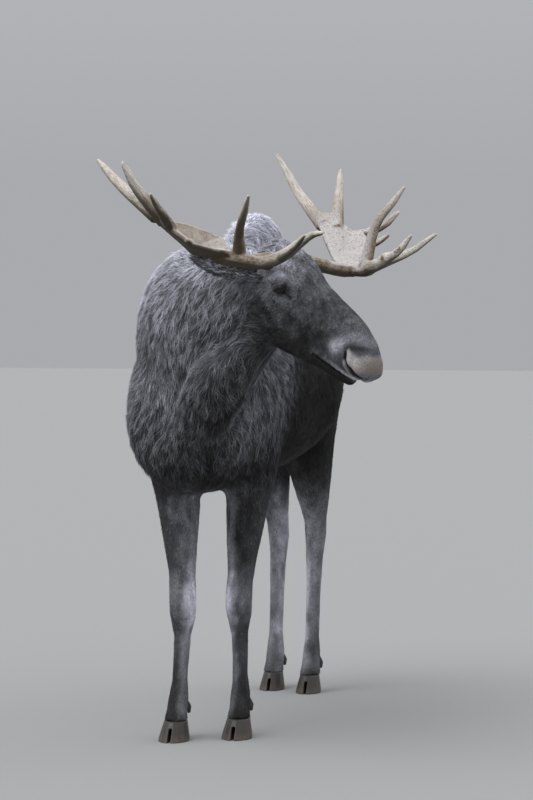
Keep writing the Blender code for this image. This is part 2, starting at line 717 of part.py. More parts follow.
def antler_meshes(side):
    """The three pieces of one antler: beam, palm and brow fork."""
    frame = antler_frame(side)
    bm = bmesh.new()
    round_tube(bm, raised(BEAM, BEAM_RAISE, side), frame)
    round_tube(bm, raised(BROW, BROW_RAISE, side), frame)
    palm_plate(bm, frame, side)
    for index in range(len(TINES)):
        round_tube(bm, tine_rows(index, side), frame)
    rough = add_object("antler", finish_mesh(bm, "antler"))
    whole = surface(rough, ANTLER_VOXEL, ANTLER_SMOOTHING, ANTLER_TRIANGLES)
    low, high = [Vector(corner) for corner in ANTLER_ROOM]
    rooms = {
        "brow": (Vector((FORK_FORWARD, low.y, low.z)), high),
        "beam": (low, Vector((high.x, FORK_OUT, high.z))),
    }
    gap = Vector((GAP, GAP, GAP))
    pieces = {}
    for name, (start, end) in rooms.items():
        pieces[name] = largest_shell(boolean(whole.copy(), block(frame, start, end), "INTERSECT"))
        whole = boolean(whole, block(frame, start - gap, end + gap), "DIFFERENCE")
    pieces["palm"] = largest_shell(whole)
    return pieces


# ---------------------------------------------------------------- the animal
def smooth_shading(obj):
    obj.data.shade_smooth()
    obj.data.set_sharp_from_angle(angle=math.radians(50))


def footing(meshes):
    """The point on the ground below the middle of the whole animal's box."""
    corners = np.array([vert.co[:] for mesh in meshes for vert in mesh.vertices])
    low, high = corners.min(axis=0), corners.max(axis=0)
    return Vector(((low[0] + high[0]) / 2, (low[1] + high[1]) / 2, 0.0))


def build():
    clear_scene()
    fur = material("fur", FUR, 0.85)
    pale = material("fur_pale", FUR_PALE, 0.85)
    horn = material("horn", HORN, 0.5)
    bone = material("antler_bone", ANTLER_BONE, 0.6)
    wet = material("eye_dark", EYE_DARK, 0.08)

    flesh = flesh_mesh()
    below = block(Matrix.Identity(4), (-1, -1, -0.2), (1, 2.5, CORONET))
    flesh = boolean(flesh, below, "DIFFERENCE")
    skin = grown(flesh, GAP)

    parts = {}
    for side, word in ((1, "left"), (-1, "right")):
        ear = boolean(ear_mesh(side), skin.copy(), "DIFFERENCE")
        parts["ear_" + word] = (largest_shell(ear), fur)
        for piece, mesh in antler_meshes(side).items():
            if piece == "beam":
                mesh = largest_shell(boolean(mesh, skin.copy(), "DIFFERENCE"))
            parts["antler_%s_%s" % (word, piece)] = (mesh, bone)
        parts["eye_" + word] = (ball(eye_middle(side), EYE_RADIUS), wet)
        flesh = boolean(flesh, ball(eye_middle(side), EYE_RADIUS + EYE_SOCKET), "DIFFERENCE")
    for name in STANCE:
        place = name[len("leg_"):]
        parts["hoof_" + place] = (hoof_mesh(name), horn)
        for side, word in ((1, "left"), (-1, "right")):
            claw = boolean(dewclaw_mesh(name, side), skin.copy(), "DIFFERENCE")
            parts["dewclaw_%s_%s" % (place, word)] = (largest_shell(claw), horn)
    for name, mesh in part_flesh(flesh).items():
        parts[name] = (mesh, pale if name.startswith("leg") else fur)

    centre = footing(mesh for mesh, finish in parts.values())
    for name, (mesh, finish) in parts.items():
        mesh.name = name
        mesh.transform(Matrix.Translation(-centre))
        smooth_shading(add_object(name, mesh, finish))


build()
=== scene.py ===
"""Looks of the moose: one skin under a coat of mesh locks, bare antlers, horn hooves, wet eyes.

Lengths are in metres. The animal's own axes start on the ground between its fore feet: x to
its left, y to its tail, z up. The head's own axes start on the crown: forward along the face,
outward to the left, up.
"""

from math import cos, pi, radians, sin

import bmesh
import bpy
import numpy as np
from mathutils import Matrix, Vector


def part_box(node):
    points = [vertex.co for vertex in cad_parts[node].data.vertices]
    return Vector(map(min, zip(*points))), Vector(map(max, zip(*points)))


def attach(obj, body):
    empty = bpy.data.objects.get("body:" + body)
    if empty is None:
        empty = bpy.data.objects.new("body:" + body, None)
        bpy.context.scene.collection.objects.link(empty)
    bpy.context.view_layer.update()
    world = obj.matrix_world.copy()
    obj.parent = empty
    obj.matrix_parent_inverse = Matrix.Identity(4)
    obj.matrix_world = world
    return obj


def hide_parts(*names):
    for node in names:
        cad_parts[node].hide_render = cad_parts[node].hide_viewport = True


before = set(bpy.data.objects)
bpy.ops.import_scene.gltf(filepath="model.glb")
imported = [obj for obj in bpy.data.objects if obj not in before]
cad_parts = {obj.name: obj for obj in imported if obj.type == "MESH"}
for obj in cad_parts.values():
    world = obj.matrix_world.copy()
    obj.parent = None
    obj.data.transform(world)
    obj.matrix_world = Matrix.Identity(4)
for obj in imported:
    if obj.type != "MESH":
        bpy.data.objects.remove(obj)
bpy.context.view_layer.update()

# ------------ places
FORE_HOOF = Vector((0.100, -0.009, 0.0))  # the left fore hoof's middle in the animal's axes
HEAD_PITCH = radians(35.0)
EYE_PLACE = (0.100, 0.085, -0.051)
EYE_RADIUS = 0.0215
FLESH = ["head", "neck", "trunk", "tail", "leg_front_left", "leg_front_right",
         "leg_hind_left", "leg_hind_right"]
# The middle of each leg in the animal's axes: height, x, y
LEGS = {
    "front_left": [(0.08, 0.100, 0.025), (0.31, 0.093, 0.072), (0.52, 0.088, 0.078),
                   (0.75, 0.102, 0.093), (0.90, 0.114, 0.107), (1.05, 0.128, 0.099)],
    "front_right": [(0.08, -0.115, -0.090), (0.31, -0.101, -0.066), (0.52, -0.090, -0.077),
                    (0.75, -0.118, -0.017), (0.90, -0.143, 0.038), (1.05, -0.172, 0.078)],
    "hind_left": [(0.08, 0.085, 1.262), (0.24, 0.085, 1.304), (0.66, 0.086, 1.358),
                  (0.73, 0.087, 1.340), (0.83, 0.090, 1.280), (1.05, 0.094, 1.170)],
    "hind_right": [(0.08, -0.088, 1.317), (0.24, -0.088, 1.359), (0.66, -0.089, 1.408),
                   (0.73, -0.090, 1.381), (0.83, -0.093, 1.307), (1.05, -0.097, 1.175)],
}
RUFF = [(0.300, -0.415, 1.530), (0.190, -0.410, 1.430), (0.120, -0.375, 1.335),
        (0.062, -0.330, 1.245), (0.000, -0.280, 1.155)]
# Folds of the hide: below the ruff, and down the middle of the brisket
FOLD = [(0.000, -0.430, 1.320), (0.060, -0.440, 1.275), (0.110, -0.425, 1.235),
        (0.135, -0.411, 1.222), (0.170, -0.415, 1.255), (0.229, -0.406, 1.334)]
CREASE = [(0.128, -0.390, 1.205), (0.113, -0.368, 1.179), (0.067, -0.296, 1.090),
          (0.047, -0.241, 1.013), (0.020, -0.150, 0.925), (-0.010, 0.000, 0.905)]
# Patches of painted sky light on the neck and the brisket: middle, and how far each reaches
SKY_LIT_PATCHES = [((-0.079, -0.357, 1.587), 0.045), ((-0.104, -0.339, 1.495), 0.040),
           ((-0.172, -0.239, 1.661), 0.080), ((0.295, -0.460, 1.480), 0.035)]
SPINE = -0.015  # x of the body's middle
# How coarse the meshes are, and the growth that closes the gaps between the solids
SKIN_VOXEL, ANTLER_VOXEL, HOOF_VOXEL, CLAW_VOXEL = 0.0094, 0.0037, 0.0036, 0.0023
GAP_COVER = 0.0006


def middle_of(node):
    low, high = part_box(node)
    return (low + high) / 2


ground = middle_of("hoof_front_left") - FORE_HOOF
ground.z = 0.0
GROUND = np.array(ground)
LEFT = (middle_of("eye_left") - middle_of("eye_right")).normalized()
UP = Vector((0, 0, 1))
LEVEL = LEFT.cross(UP)
FACE = LEVEL * cos(HEAD_PITCH) - UP * sin(HEAD_PITCH)
BROW = LEVEL * sin(HEAD_PITCH) + UP * cos(HEAD_PITCH)
HEAD = np.array([FACE, LEFT, BROW])  # rows: forward, outward, up
CROWN = np.array((middle_of("eye_left") + middle_of("eye_right")) / 2
                 - FACE * EYE_PLACE[0] - BROW * EYE_PLACE[2])


def in_head(points):
    return (points - CROWN) @ HEAD.T


def from_head(points):
    return np.asarray(points, float) @ HEAD + CROWN


# ------------ numbers on arrays
def unit(vectors):
    vectors = np.asarray(vectors, float)
    return vectors / np.maximum(np.linalg.norm(vectors, axis=-1, keepdims=True), 1e-9)


def step(low, high, x):
    t = np.clip((x - low) / (high - low), 0.0, 1.0)
    return t * t * (3 - 2 * t)


def blend(a, b, t):
    return a + (b - a) * t


def speck(cells, seed):
    """A number from -1 to 1 for each cell of a lattice."""
    h = (cells[..., 0] * 73856093) ^ (cells[..., 1] * 19349663) ^ (cells[..., 2] * 83492791)
    h = (h ^ (seed * 2654435761)) & 0xFFFFFFFF
    h = ((h ^ (h >> 15)) * 2246822519) & 0xFFFFFFFF
    h = ((h ^ (h >> 13)) * 3266489917) & 0xFFFFFFFF
    return (h ^ (h >> 16)) / 2147483648.0 - 1.0


def waver(points, size, seed):
    """Smooth unevenness from -1 to 1, about as coarse as size."""
    scaled = points / size
    base = np.floor(scaled).astype(np.int64)
    f = scaled - base
    f = f * f * (3 - 2 * f)
    total = np.zeros(len(points))
    for corner in range(8):
        offset = np.array([corner & 1, corner >> 1 & 1, corner >> 2 & 1])
        share = np.prod(np.where(offset == 1, f, 1 - f), axis=1)
        total += share * speck(base + offset, seed)
    return total


def near_line(points, line):
    """Distance of each point from a line of points."""
    line = np.asarray(line, float)
    best = np.full(len(points), 1e9)
    for a, b in zip(line, line[1:]):
        t = np.clip((points - a) @ (b - a) / max((b - a) @ (b - a), 1e-12), 0, 1)
        best = np.minimum(best, np.linalg.norm(points - a - t[:, None] * (b - a), axis=1))
    return best


def off_line(f, line):
    """As near_line, in the head's axes, for marks seen from the side of the face."""
    flat = np.array([1.0, 0.35, 1.0])
    return near_line(f * flat, np.array(line) * flat)


def spot(points, middle, size):
    """1 at the middle, fading to nothing a few sizes away; size may differ by axis."""
    return np.exp(-(((points - middle) / size) ** 2).sum(axis=1))


def bell(x, middle, width):
    return np.exp(-((x - middle) / width) ** 2)


def band(points, line, width):
    """1 on a line of points, fading to nothing a few widths away."""
    return np.exp(-(near_line(points, line) / width) ** 2)


def stroke(f, line, width, edge=2):
    """As band, in the head's axes and seen from its side; a higher edge is a harder one."""
    return np.exp(-(off_line(f, line) / width) ** edge)


def both_sides(h):
    """Places in the head's axes with the right side folded onto the left."""
    return h * [1, 0, 1] + np.abs(h) * [0, 1, 0]


def round_eye(f):
    """1 on the edge of the open eye, less inside it and more outside."""
    axes = np.array([HEAD @ axis for axis in eye_axes(1)[1:]])
    a, b, c = ((f - EYE_PLACE) @ axes.T).T
    return np.hypot(a / SLIT[0], b / np.where(b > 0, SLIT[1], SLIT[2])) + 99 * (c < 0)


# ------------ the animal, place by place
def regions(points):
    """Places in both sets of axes, and the shares of the head, the neck and the legs."""
    p = points - GROUND
    h = in_head(points)
    head = step(-0.03, 0.05, 0.8 * (h[:, 0] + 0.055) + 0.6 * (h[:, 2] + 0.080))
    neck = step(-0.25, 0.05, (p - [-0.02, -0.085, 1.5]) @ unit([0.35, -0.93, 0.28]))
    leg_top = blend(1.00, 1.10, step(0.4, 0.8, p[:, 1]))
    leg = step(leg_top + 0.09, leg_top - 0.09, p[:, 2]) * (1 - head)
    return p, h, head, neck * (1 - head) * (1 - leg), leg


def leg_axes(points):
    """Which leg each place is nearest to, and where it lies from that leg's middle."""
    p = points - GROUND
    best = np.full(len(p), 9.0)
    rel = np.zeros((len(p), 2))
    name = np.empty(len(p), dtype="U12")
    for leg, line in LEGS.items():
        z, x, y = np.array(line).T
        own = np.stack([p[:, 0] - np.interp(p[:, 2], z, x), p[:, 1] - np.interp(p[:, 2], z, y)], 1)
        if leg.endswith("right"):
            own[:, 0] *= -1  # outward is positive on either side
        away = np.linalg.norm(own, axis=1)
        nearer = away < best
        best[nearer], rel[nearer], name[nearer] = away[nearer], own[nearer], leg
    return name, rel


def coat_length(points):
    """How long the hair is."""
    p, h, head, neck, leg = regions(points)
    y, z = p[:, 1], p[:, 2]
    hump = bell(y, 0.30, 0.30) * step(1.55, 1.90, z)
    body = blend(0.040, 0.034, step(0.5, 1.3, y)) + 0.008 * hump
    body += 0.014 * step(1.15, 0.95, z) * step(0.4, -0.1, y)
    body *= blend(1.0, 0.78, step(0.00, 0.30, y))
    length = blend(body, 0.046, neck)
    limb = np.interp(z, [0.08, 0.14, 0.25, 0.50, 0.75, 0.95, 1.10],
                     [0.014, 0.009, 0.0075, 0.009, 0.014, 0.022, 0.034])
    length = blend(length, limb, leg)
    face = np.interp(h[:, 0], [-0.05, 0.05, 0.12, 0.25, 0.40, 0.50],
                     [0.034, 0.024, 0.014, 0.010, 0.0070, 0.0048])
    face += 0.022 * step(-0.16, -0.28, h[:, 2]) * step(0.30, 0.10, h[:, 0])
    return blend(length, face, head)


def coat_depth(points):
    """How far the skin lies below the tips of the hair."""
    head = regions(points)[2]
    return blend(coat_length(points) * 0.20, 0.0018, step(0.2, 0.9, head))


def coat_tone(points, normals):
    """How much light the hair gives back, 0 to 1, with painted light and shade in it: lighter on top,
    darker below, in folds and on the flank.
    """
    p, h, head, neck, leg = regions(points)
    x, y, z = p.T
    # Paler up the body and darker low down and towards the tail: partly the coat's own colour, partly
    # painted shade on the belly and flank and painted sky light on the hump.
    body = np.interp(z, [0.90, 1.10, 1.30, 1.50, 1.70, 1.85, 2.00],
                     [0.018, 0.024, 0.044, 0.100, 0.270, 0.620, 0.980])
    body *= blend(1.7, 0.45, step(0.00, 0.30, y) * step(1.85, 1.5, z))
    body *= blend(1.0, 0.55, step(0.32, 0.60, y))
    # Likewise on the neck: its own colour, with painted shade low down and painted sky light on the
    # crest.
    throat = np.interp(z, [0.95, 1.15, 1.35, 1.55, 1.70, 1.85, 1.95],
                       [0.016, 0.270, 0.320, 0.340, 0.480, 1.050, 1.350])
    # Painted shade on the throat along the ruff, strongest low down.
    off_ruff = step(0.04, 0.19, near_line(p, RUFF))
    throat *= blend(blend(0.42, 0.80, step(1.35, 1.15, z)), 1.0, off_ruff)
    # Up-facing hair is painted lighter and down-facing hair darker: painted top light and shade.
    tone = blend(body, throat, neck) * blend(0.50, 1.25, step(-0.8, 0.7, normals[:, 2]))
    fore = np.interp(z, [0.08, 0.13, 0.25, 0.42, 0.52, 0.65, 0.85, 1.05],
                     [0.050, 0.090, 0.120, 0.230, 0.560, 0.170, 0.160, 0.080])
    hind = np.interp(z, [0.08, 0.13, 0.25, 0.45, 0.70, 0.82, 0.92, 1.05],
                     [0.160, 0.330, 0.540, 0.640, 0.560, 0.330, 0.070, 0.014])
    limb = blend(fore, hind, step(0.4, 0.8, y))
    outer = normals[:, 0] * np.sign(x - SPINE)
    edge = step(0.15, -0.75, outer + 0.35 * waver(points, 0.05, 6))
    limb *= blend(blend(0.55, 2.8, edge), blend(0.65, 1.4, edge), step(0.4, 0.8, y))
    limb *= 1 + 0.5 * waver(points * [1, 1, 0.35], 0.022, 8)
    tone = blend(tone, limb, leg)
    # Painted shade in the crease of the brisket, in the fold below the ruff and on the neck's front under
    # its bulge.
    tone *= 1 - 0.70 * band(p, CREASE, 0.024)
    tone *= 1 - 0.65 * band(p, FOLD, 0.030)
    tone *= 1 - 0.35 * spot(p, [0.150, -0.480, 1.370], [0.08, 0.12, 0.09])
    # Painted sky light: the hair made paler on these patches of the neck and the brisket.
    for middle, reach in SKY_LIT_PATCHES:
        tone *= 1 + 0.70 * spot(p, middle, reach)
    tone = blend(tone, face_tone(both_sides(h), points), head)
    return tone * (1 + 0.30 * waver(points, 0.09, 3) + 0.24 * waver(points, 0.028, 4))


def face_tone(f, points):
    """The face's markings, both sides alike but for their mottling, with painted shade in its hollows,
    folds, nostrils and mouth line.
    """
    s, _, u = f.T
    face = np.interp(s, [-0.05, 0.03, 0.10, 0.16, 0.30, 0.42, 0.50, 0.57],
                     [0.640, 0.580, 0.340, 0.160, 0.105, 0.120, 0.150, 0.180])
    face = blend(face, 0.085, step(-0.06, -0.16, u) * step(0.42, 0.30, s))
    face = blend(face, 0.030, step(-0.165, -0.185, u) * step(0.12, 0.20, s))
    spots = 0.55 * waver(points, 0.012, 5) + 0.45 * waver(points, 0.030, 9)
    face *= 1 + spots * step(0.47, 0.40, s)
    face += 0.160 * band(f, BROW_RIDGE, 0.012)
    face += 0.090 * spot(f, [0.152, 0.090, -0.068], [0.012, 0.03, 0.010])
    face *= 1 - 0.55 * spot(f, [0.268, 0.051, 0.000], [0.018, 0.03, 0.014])
    # Painted shade in the hollows of the cheek.
    for hollow in SHADED_CHEEK_HOLLOWS:
        face *= 1 - 0.60 * spot(f, hollow, [0.022, 0.05, 0.020])
    face *= 1 - 0.85 * step(4.2, 1.2, round_eye(f + [-0.006, 0.0, -0.004]))
    face += 0.110 * stroke(f, UNDER_EYE, 0.0035)
    face *= 1 - 0.80 * stroke(f, TEAR, 0.007)
    face += 0.210 * stroke(f, MUZZLE_BAND, 0.022)
    face += 0.540 * spot(f, [0.410, 0.063, -0.088], [0.028, 0.05, 0.034])
    # Painted shade in the fold above the nose pad.
    face *= 1 - 0.70 * stroke(f, PAD_FOLD, 0.011)
    face = blend(face, 0.300, nose_pad(f))
    face = blend(face, 0.260, step(0.515, 0.545, s) * (1 - nose_pad(f)) * step(-0.02, -0.05, u))
    # Painted shade in the nostril slits and their hollows, over dark bare skin.
    face *= 1 - 0.70 * stroke(f, NOSTRIL, 0.0065, 4)
    face *= 1 - 0.92 * stroke(f, HOLLOW, 0.0165, 4)
    face *= 1 - 0.80 * spot(f, [0.566, 0.030, -0.112], [0.010, 0.009, 0.008])
    chin = step(0.000, -0.010, u + np.interp(s, [0.30, 0.35, 0.42, 0.50, 0.55],
                                             [0.190, 0.171, 0.162, 0.161, 0.158]))
    face = blend(face, 0.014, chin * step(0.30, 0.34, s))
    # Dark lips along the mouth line, with painted shade under the upper lip.
    face *= 1 - 0.75 * stroke(f, MOUTH, 0.006)
    rim = np.interp(s, [0.350, 0.400, 0.450, 0.500], [0.060, 0.260, 0.700, 1.200])
    return blend(face, rim, stroke(f, LIP_RIM, blend(0.0060, 0.0095, step(0.47, 0.54, s))))


def nose_pad(f):
    """The pale, nearly bare pad in front of each nostril."""
    s, o, u = f.T
    top = np.interp(o, [0.0, 0.040, 0.063, 0.070], [-0.034, -0.038, -0.058, -0.072])
    foot = np.interp(s, [0.450, 0.471, 0.492, 0.511, 0.530, 0.545, 0.562, 0.580],
                     [-0.066, -0.089, -0.101, -0.109, -0.113, -0.108, -0.096, -0.086])
    return step(0.005, -0.008, u - top) * step(-0.002, 0.005, u - foot) * step(0.455, 0.468, s)


def lie_of_coat(points, normals):
    """The way the hair runs along the skin."""
    p, h, head, neck, leg = regions(points)
    x, y = p.T[:2]
    s, _, u = both_sides(h).T
    across = np.sign(x - SPINE) * step(0.0, 0.4, np.abs(normals[:, 0]))
    shoulder = step(0.55, 0.05, y)
    body = np.stack([0.15 * across, blend(0.9, 0.45, shoulder), blend(-0.45, -0.9, shoulder)], 1)
    body = blend(body, [0.0, 0.05, -1.0], step(-0.15, -0.35, y)[:, None])
    along_neck = np.array([-0.34, 0.90, -0.27]) * 0.62
    down_neck = [0, 0, -0.9] * step(0.95, 0.3, normals[:, 2])[:, None]
    way = blend(body, along_neck + down_neck, neck[:, None])
    thigh = step(0.6, 0.9, y)[:, None]
    way = blend(way, blend(np.array([0.0, 0.08, -1.0]), [0.0, 0.22, -1.0], thigh), leg[:, None])
    top = step(-0.06, 0.0, u) * step(0.5, 0.25, s)
    forward = blend(blend(-0.5, 0.55, step(0.15, 0.35, s)), blend(-1.0, 0.9, step(0.0, 0.12, s)), top)
    face = np.stack([forward, 0.5 * np.sign(h[:, 1]) * top, blend(-0.85, -0.25, top)], 1)
    jaw = step(-0.12, -0.2, u) * step(0.35, 0.15, s)
    face = blend(face, [-0.9, 0.0, -0.5], jaw[:, None])
    way = blend(way, face @ HEAD, head[:, None])
    swirl = 0.55 * waver(points, 0.11, 11) + 0.38 * waver(points, 0.035, 12)
    swirl *= blend(1.0, 0.55, step(0.1, 0.8, leg + head))
    swirl += 1.5 * waver(points, 0.013, 13) * head * step(0.17, 0.08, s) * step(-0.05, -0.01, u)
    way = unit(way - normals * (way * normals).sum(1, keepdims=True))
    return unit(way * np.cos(swirl)[:, None] + np.cross(normals, way) * np.sin(swirl)[:, None])


# ------------ features of the face
# Lines in the head's axes on the left side; the right side is the same
LIP_RIM = [(0.350, 0.045, -0.163), (0.385, 0.046, -0.160), (0.421, 0.047, -0.155),
           (0.472, 0.046, -0.151), (0.505, 0.042, -0.150), (0.535, 0.030, -0.147),
           (0.558, 0.015, -0.141), (0.565, 0.000, -0.138)]
MOUTH = [(0.327, 0.045, -0.180), (0.390, 0.045, -0.171), (0.440, 0.044, -0.166),
         (0.480, 0.040, -0.163), (0.512, 0.030, -0.162), (0.535, 0.015, -0.160),
         (0.545, 0.000, -0.159)]
NOSTRIL = [(0.459, 0.062, -0.076), (0.470, 0.063, -0.093), (0.492, 0.064, -0.106),
           (0.514, 0.062, -0.116), (0.535, 0.058, -0.122), (0.556, 0.048, -0.116)]
HOLLOW = [(0.512, 0.060, -0.121), (0.534, 0.054, -0.129)]
WING = [(0.474, 0.063, -0.104), (0.486, 0.060, -0.124), (0.503, 0.054, -0.142),
        (0.525, 0.044, -0.150)]
PAD_FOLD = [(0.450, 0.063, -0.062), (0.478, 0.055, -0.040), (0.510, 0.038, -0.028)]
SHADED_CHEEK_HOLLOWS = [(0.185, 0.085, -0.112), (0.079, 0.090, -0.160), (0.135, 0.070, -0.215),
                 (0.270, 0.060, -0.165)]
TEAR = [(0.124, 0.092, -0.052), (0.145, 0.092, -0.052), (0.170, 0.090, -0.056)]
UNDER_EYE = [(0.082, 0.100, -0.078), (0.108, 0.102, -0.071), (0.130, 0.096, -0.060)]
BROW_RIDGE = [(0.040, 0.095, -0.048), (0.078, 0.099, -0.016), (0.117, 0.090, -0.004),
              (0.150, 0.086, -0.018)]
MUZZLE_BAND = [(0.392, 0.062, -0.105), (0.411, 0.064, -0.082), (0.441, 0.050, -0.020),
               (0.478, 0.024, -0.004), (0.500, 0.000, -0.006)]
FEATURES = [  # line, width, how far it stands out
    (BROW_RIDGE, 0.015, 0.009),
    ([(0.096, 0.100, -0.054), (0.104, 0.100, -0.055)], 0.034, -0.006),
    ([(0.086, 0.098, -0.082), (0.130, 0.094, -0.090)], 0.011, 0.004),
    (TEAR, 0.006, -0.006),
    ([(0.130, 0.096, -0.092), (0.255, 0.076, -0.090)], 0.018, 0.005),
    ([(0.085, 0.090, -0.140), (0.120, 0.085, -0.190)], 0.042, 0.007),
    ([(0.182, 0.086, -0.105), (0.200, 0.078, -0.190)], 0.016, -0.006),
    ([(0.040, 0.080, -0.235), (0.160, 0.072, -0.248), (0.250, 0.060, -0.232)], 0.016, 0.005),
    ([(0.250, 0.066, -0.130), (0.345, 0.050, -0.150)], 0.022, -0.006),
    ([(0.200, 0.070, -0.020), (0.330, 0.056, -0.030)], 0.018, -0.003),
    ([(0.395, 0.060, -0.095), (0.430, 0.062, -0.105)], 0.022, 0.005),
    ([(0.455, 0.062, -0.060), (0.468, 0.062, -0.078)], 0.014, -0.004),
    ([(0.500, 0.068, -0.088), (0.548, 0.055, -0.100)], 0.018, 0.006),
    (NOSTRIL, 0.0045, -0.016),
    (HOLLOW, 0.0135, -0.030),
    (WING, 0.0060, 0.003),
    ([(0.440, 0.066, -0.100), (0.470, 0.066, -0.122)], 0.013, 0.005),
    (MOUTH, 0.0055, -0.014),
    (LIP_RIM, 0.008, 0.004),
    ([(0.360, 0.044, -0.190), (0.460, 0.030, -0.185)], 0.014, 0.003),
]

# Eyelids: half the slit's length, its height above and below, and the rings of the lid as
# distance out from the slit's edge and above the eyeball
SLIT = (0.0188, 0.0112, 0.0080)
LID = [(-0.0012, 0.0003), (-0.0003, 0.0016), (0.0014, 0.0026), (0.0042, 0.0027),
       (0.0080, 0.0012), (0.0125, -0.0020), (0.0175, -0.0070)]

# Ears in the head's axes: forward, outward, up, half width, half thickness
EAR = [
    (-0.005, 0.050, -0.074, 0.022, 0.020),
    (-0.045, 0.112, -0.088, 0.036, 0.025),
    (-0.085, 0.166, -0.098, 0.046, 0.022),
    (-0.125, 0.212, -0.106, 0.042, 0.017),
    (-0.160, 0.244, -0.112, 0.024, 0.011),
    (-0.178, 0.258, -0.115, 0.008, 0.005),
]
EAR_FACING = (0.35, 0.25, 0.90)


# ------------ meshes and arrays
def read(items, name, width, kind=float):
    """One property of a mesh's corners, edges or faces, a row for each."""
    values = np.empty(len(items) * width, dtype=kind)
    items.foreach_get(name, values)
    return values.reshape(-1, width)


def write(items, name, values, kind=float):
    items.foreach_set(name, np.ascontiguousarray(values, dtype=kind).ravel())


def corners_of(mesh):
    return read(mesh.vertices, "co", 3)


def surface_of(mesh):
    """The places of a mesh's corners, and their normals."""
    return corners_of(mesh), read(mesh.vertex_normals, "vector", 3)


def move_to(mesh, points):
    write(mesh.vertices, "co", points)
    mesh.update()


def set_values(mesh, **named):
    """Numbers or vectors for the corners of a mesh, which its finish reads by name."""
    for name, values in named.items():
        kind, field = ("FLOAT", "value") if values.ndim == 1 else ("FLOAT_VECTOR", "vector")
        made = mesh.attributes.new(name, kind, "POINT")
        write(made.data, field, values, np.float32)


def mesh_of(bm, name):
    mesh = bpy.data.meshes.new(name)
    bm.to_mesh(mesh)
    bm.free()
    return mesh


def linked(name, data):
    made = bpy.data.objects.new(name, data)
    bpy.context.scene.collection.objects.link(made)
    return made


def joined(nodes, grow):
    """The solids of some nodes in one mesh, grown enough to close the gaps between them."""
    bm = bmesh.new()
    for node in nodes:
        bm.from_mesh(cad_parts[node].data)
    bmesh.ops.remove_doubles(bm, verts=bm.verts, dist=0.00002)
    bm.normal_update()
    for vert in bm.verts:
        vert.co += vert.normal * grow
    return bm


def remeshed(bm, voxel, name):
    """One closed mesh of even facets over everything in bm."""
    holder = linked(name, mesh_of(bm, name))
    skin = holder.modifiers.new("Skin", "REMESH")
    skin.mode = "VOXEL"
    skin.voxel_size = voxel
    bpy.context.view_layer.update()
    depsgraph = bpy.context.evaluated_depsgraph_get()
    mesh = bpy.data.meshes.new_from_object(holder.evaluated_get(depsgraph))
    bpy.data.objects.remove(holder, do_unlink=True)
    mesh.name = name
    return mesh


def one_mesh(name, *meshes):
    bm = bmesh.new()
    for mesh in meshes:
        bm.from_mesh(mesh)
    return mesh_of(bm, name)


def relax(mesh, rounds, weight=1.0):
    """Even out a mesh's facets without shrinking it."""
    points = corners_of(mesh)
    edges = read(mesh.edges, "vertices", 2, np.int32)
    a, b = edges.T
    count = np.bincount(edges.ravel(), minlength=len(points))
    for _ in range(rounds):
        for amount in (0.5, -0.52):  # in, then out again
            pull = np.stack([np.bincount(a, points[b, k], len(points))
                             + np.bincount(b, points[a, k], len(points)) for k in range(3)], 1)
            points += (weight * amount * (pull / count[:, None] - points).T).T
    move_to(mesh, points)


def refined(mesh, wanted):
    """Each face that is wanted split in four."""
    chosen = wanted(read(mesh.polygons, "center", 3))
    bm = bmesh.new()
    bm.from_mesh(mesh)
    bm.faces.ensure_lookup_table()
    edges = {edge for index in np.flatnonzero(chosen) for edge in bm.faces[index].edges}
    bmesh.ops.subdivide_edges(bm, edges=list(edges), cuts=1, use_grid_fill=True)
    bm.to_mesh(mesh)
    bm.free()
    mesh.update()


def loft(rings, name, closed_end=True):
    """A tube through rings of points, (rings, points, 3)."""
    rings = np.asarray(rings, float)
    rows, count = rings.shape[:2]
    bm = bmesh.new()
    verts = [[bm.verts.new(p) for p in ring] for ring in rings]
    for i in range(rows - 1):
        for j in range(count):
            k = (j + 1) % count
            bm.faces.new((verts[i][j], verts[i][k], verts[i + 1][k], verts[i + 1][j]))
    if closed_end:
        bm.faces.new(verts[-1])
    bmesh.ops.recalc_face_normals(bm, faces=bm.faces)
    return mesh_of(bm, name)


def smooth_rows(rows, steps):
    """Rows in between the given ones, on a Catmull-Rom curve through them."""
    table = np.array(rows, float)
    padded = np.vstack([2 * table[0] - table[1], table, 2 * table[-1] - table[-2]])
    out = []
    for i in range(len(table) - 1):
        a, b, c, d = padded[i:i + 4]
        for t in np.arange(steps) / steps:
            out.append(0.5 * (2 * b + (c - a) * t + (2 * a - 5 * b + 4 * c - d) * t ** 2
                              + (3 * b - a - 3 * c + d) * t ** 3))
    return np.array(out + [table[-1]])


def place(name, mesh, finish, slot, *nodes):
    """A finished piece of the model that stands for some nodes."""
    made = linked(name, mesh)
    mesh.materials.append(finish)
    mesh.shade_smooth()
    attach(made, "root")
    if nodes:
        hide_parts(*nodes)


# ------------ skin
def eye_axes(side):
    """An eye's middle, and the ways along its slit, up across it, and out of the head."""
    eye = np.array(middle_of("eye_left" if side > 0 else "eye_right"))
    out = unit([0.26, 0.95 * side, 0.03] @ HEAD)
    level = unit(np.cross(out, UP)) * side
    up = np.cross(out, level) * side
    droop = radians(10)  # the front corner is the lower one
    along = level * cos(droop) - up * sin(droop)
    return eye, along, up * cos(droop) + level * sin(droop), out


def slit_height(a):
    """How far the eye's slit opens above and below, at a place along it."""
    share = np.clip(1 - (a / SLIT[0]) ** 2, 0, 1)
    return SLIT[1] * share ** 0.8, SLIT[2] * share ** 0.9


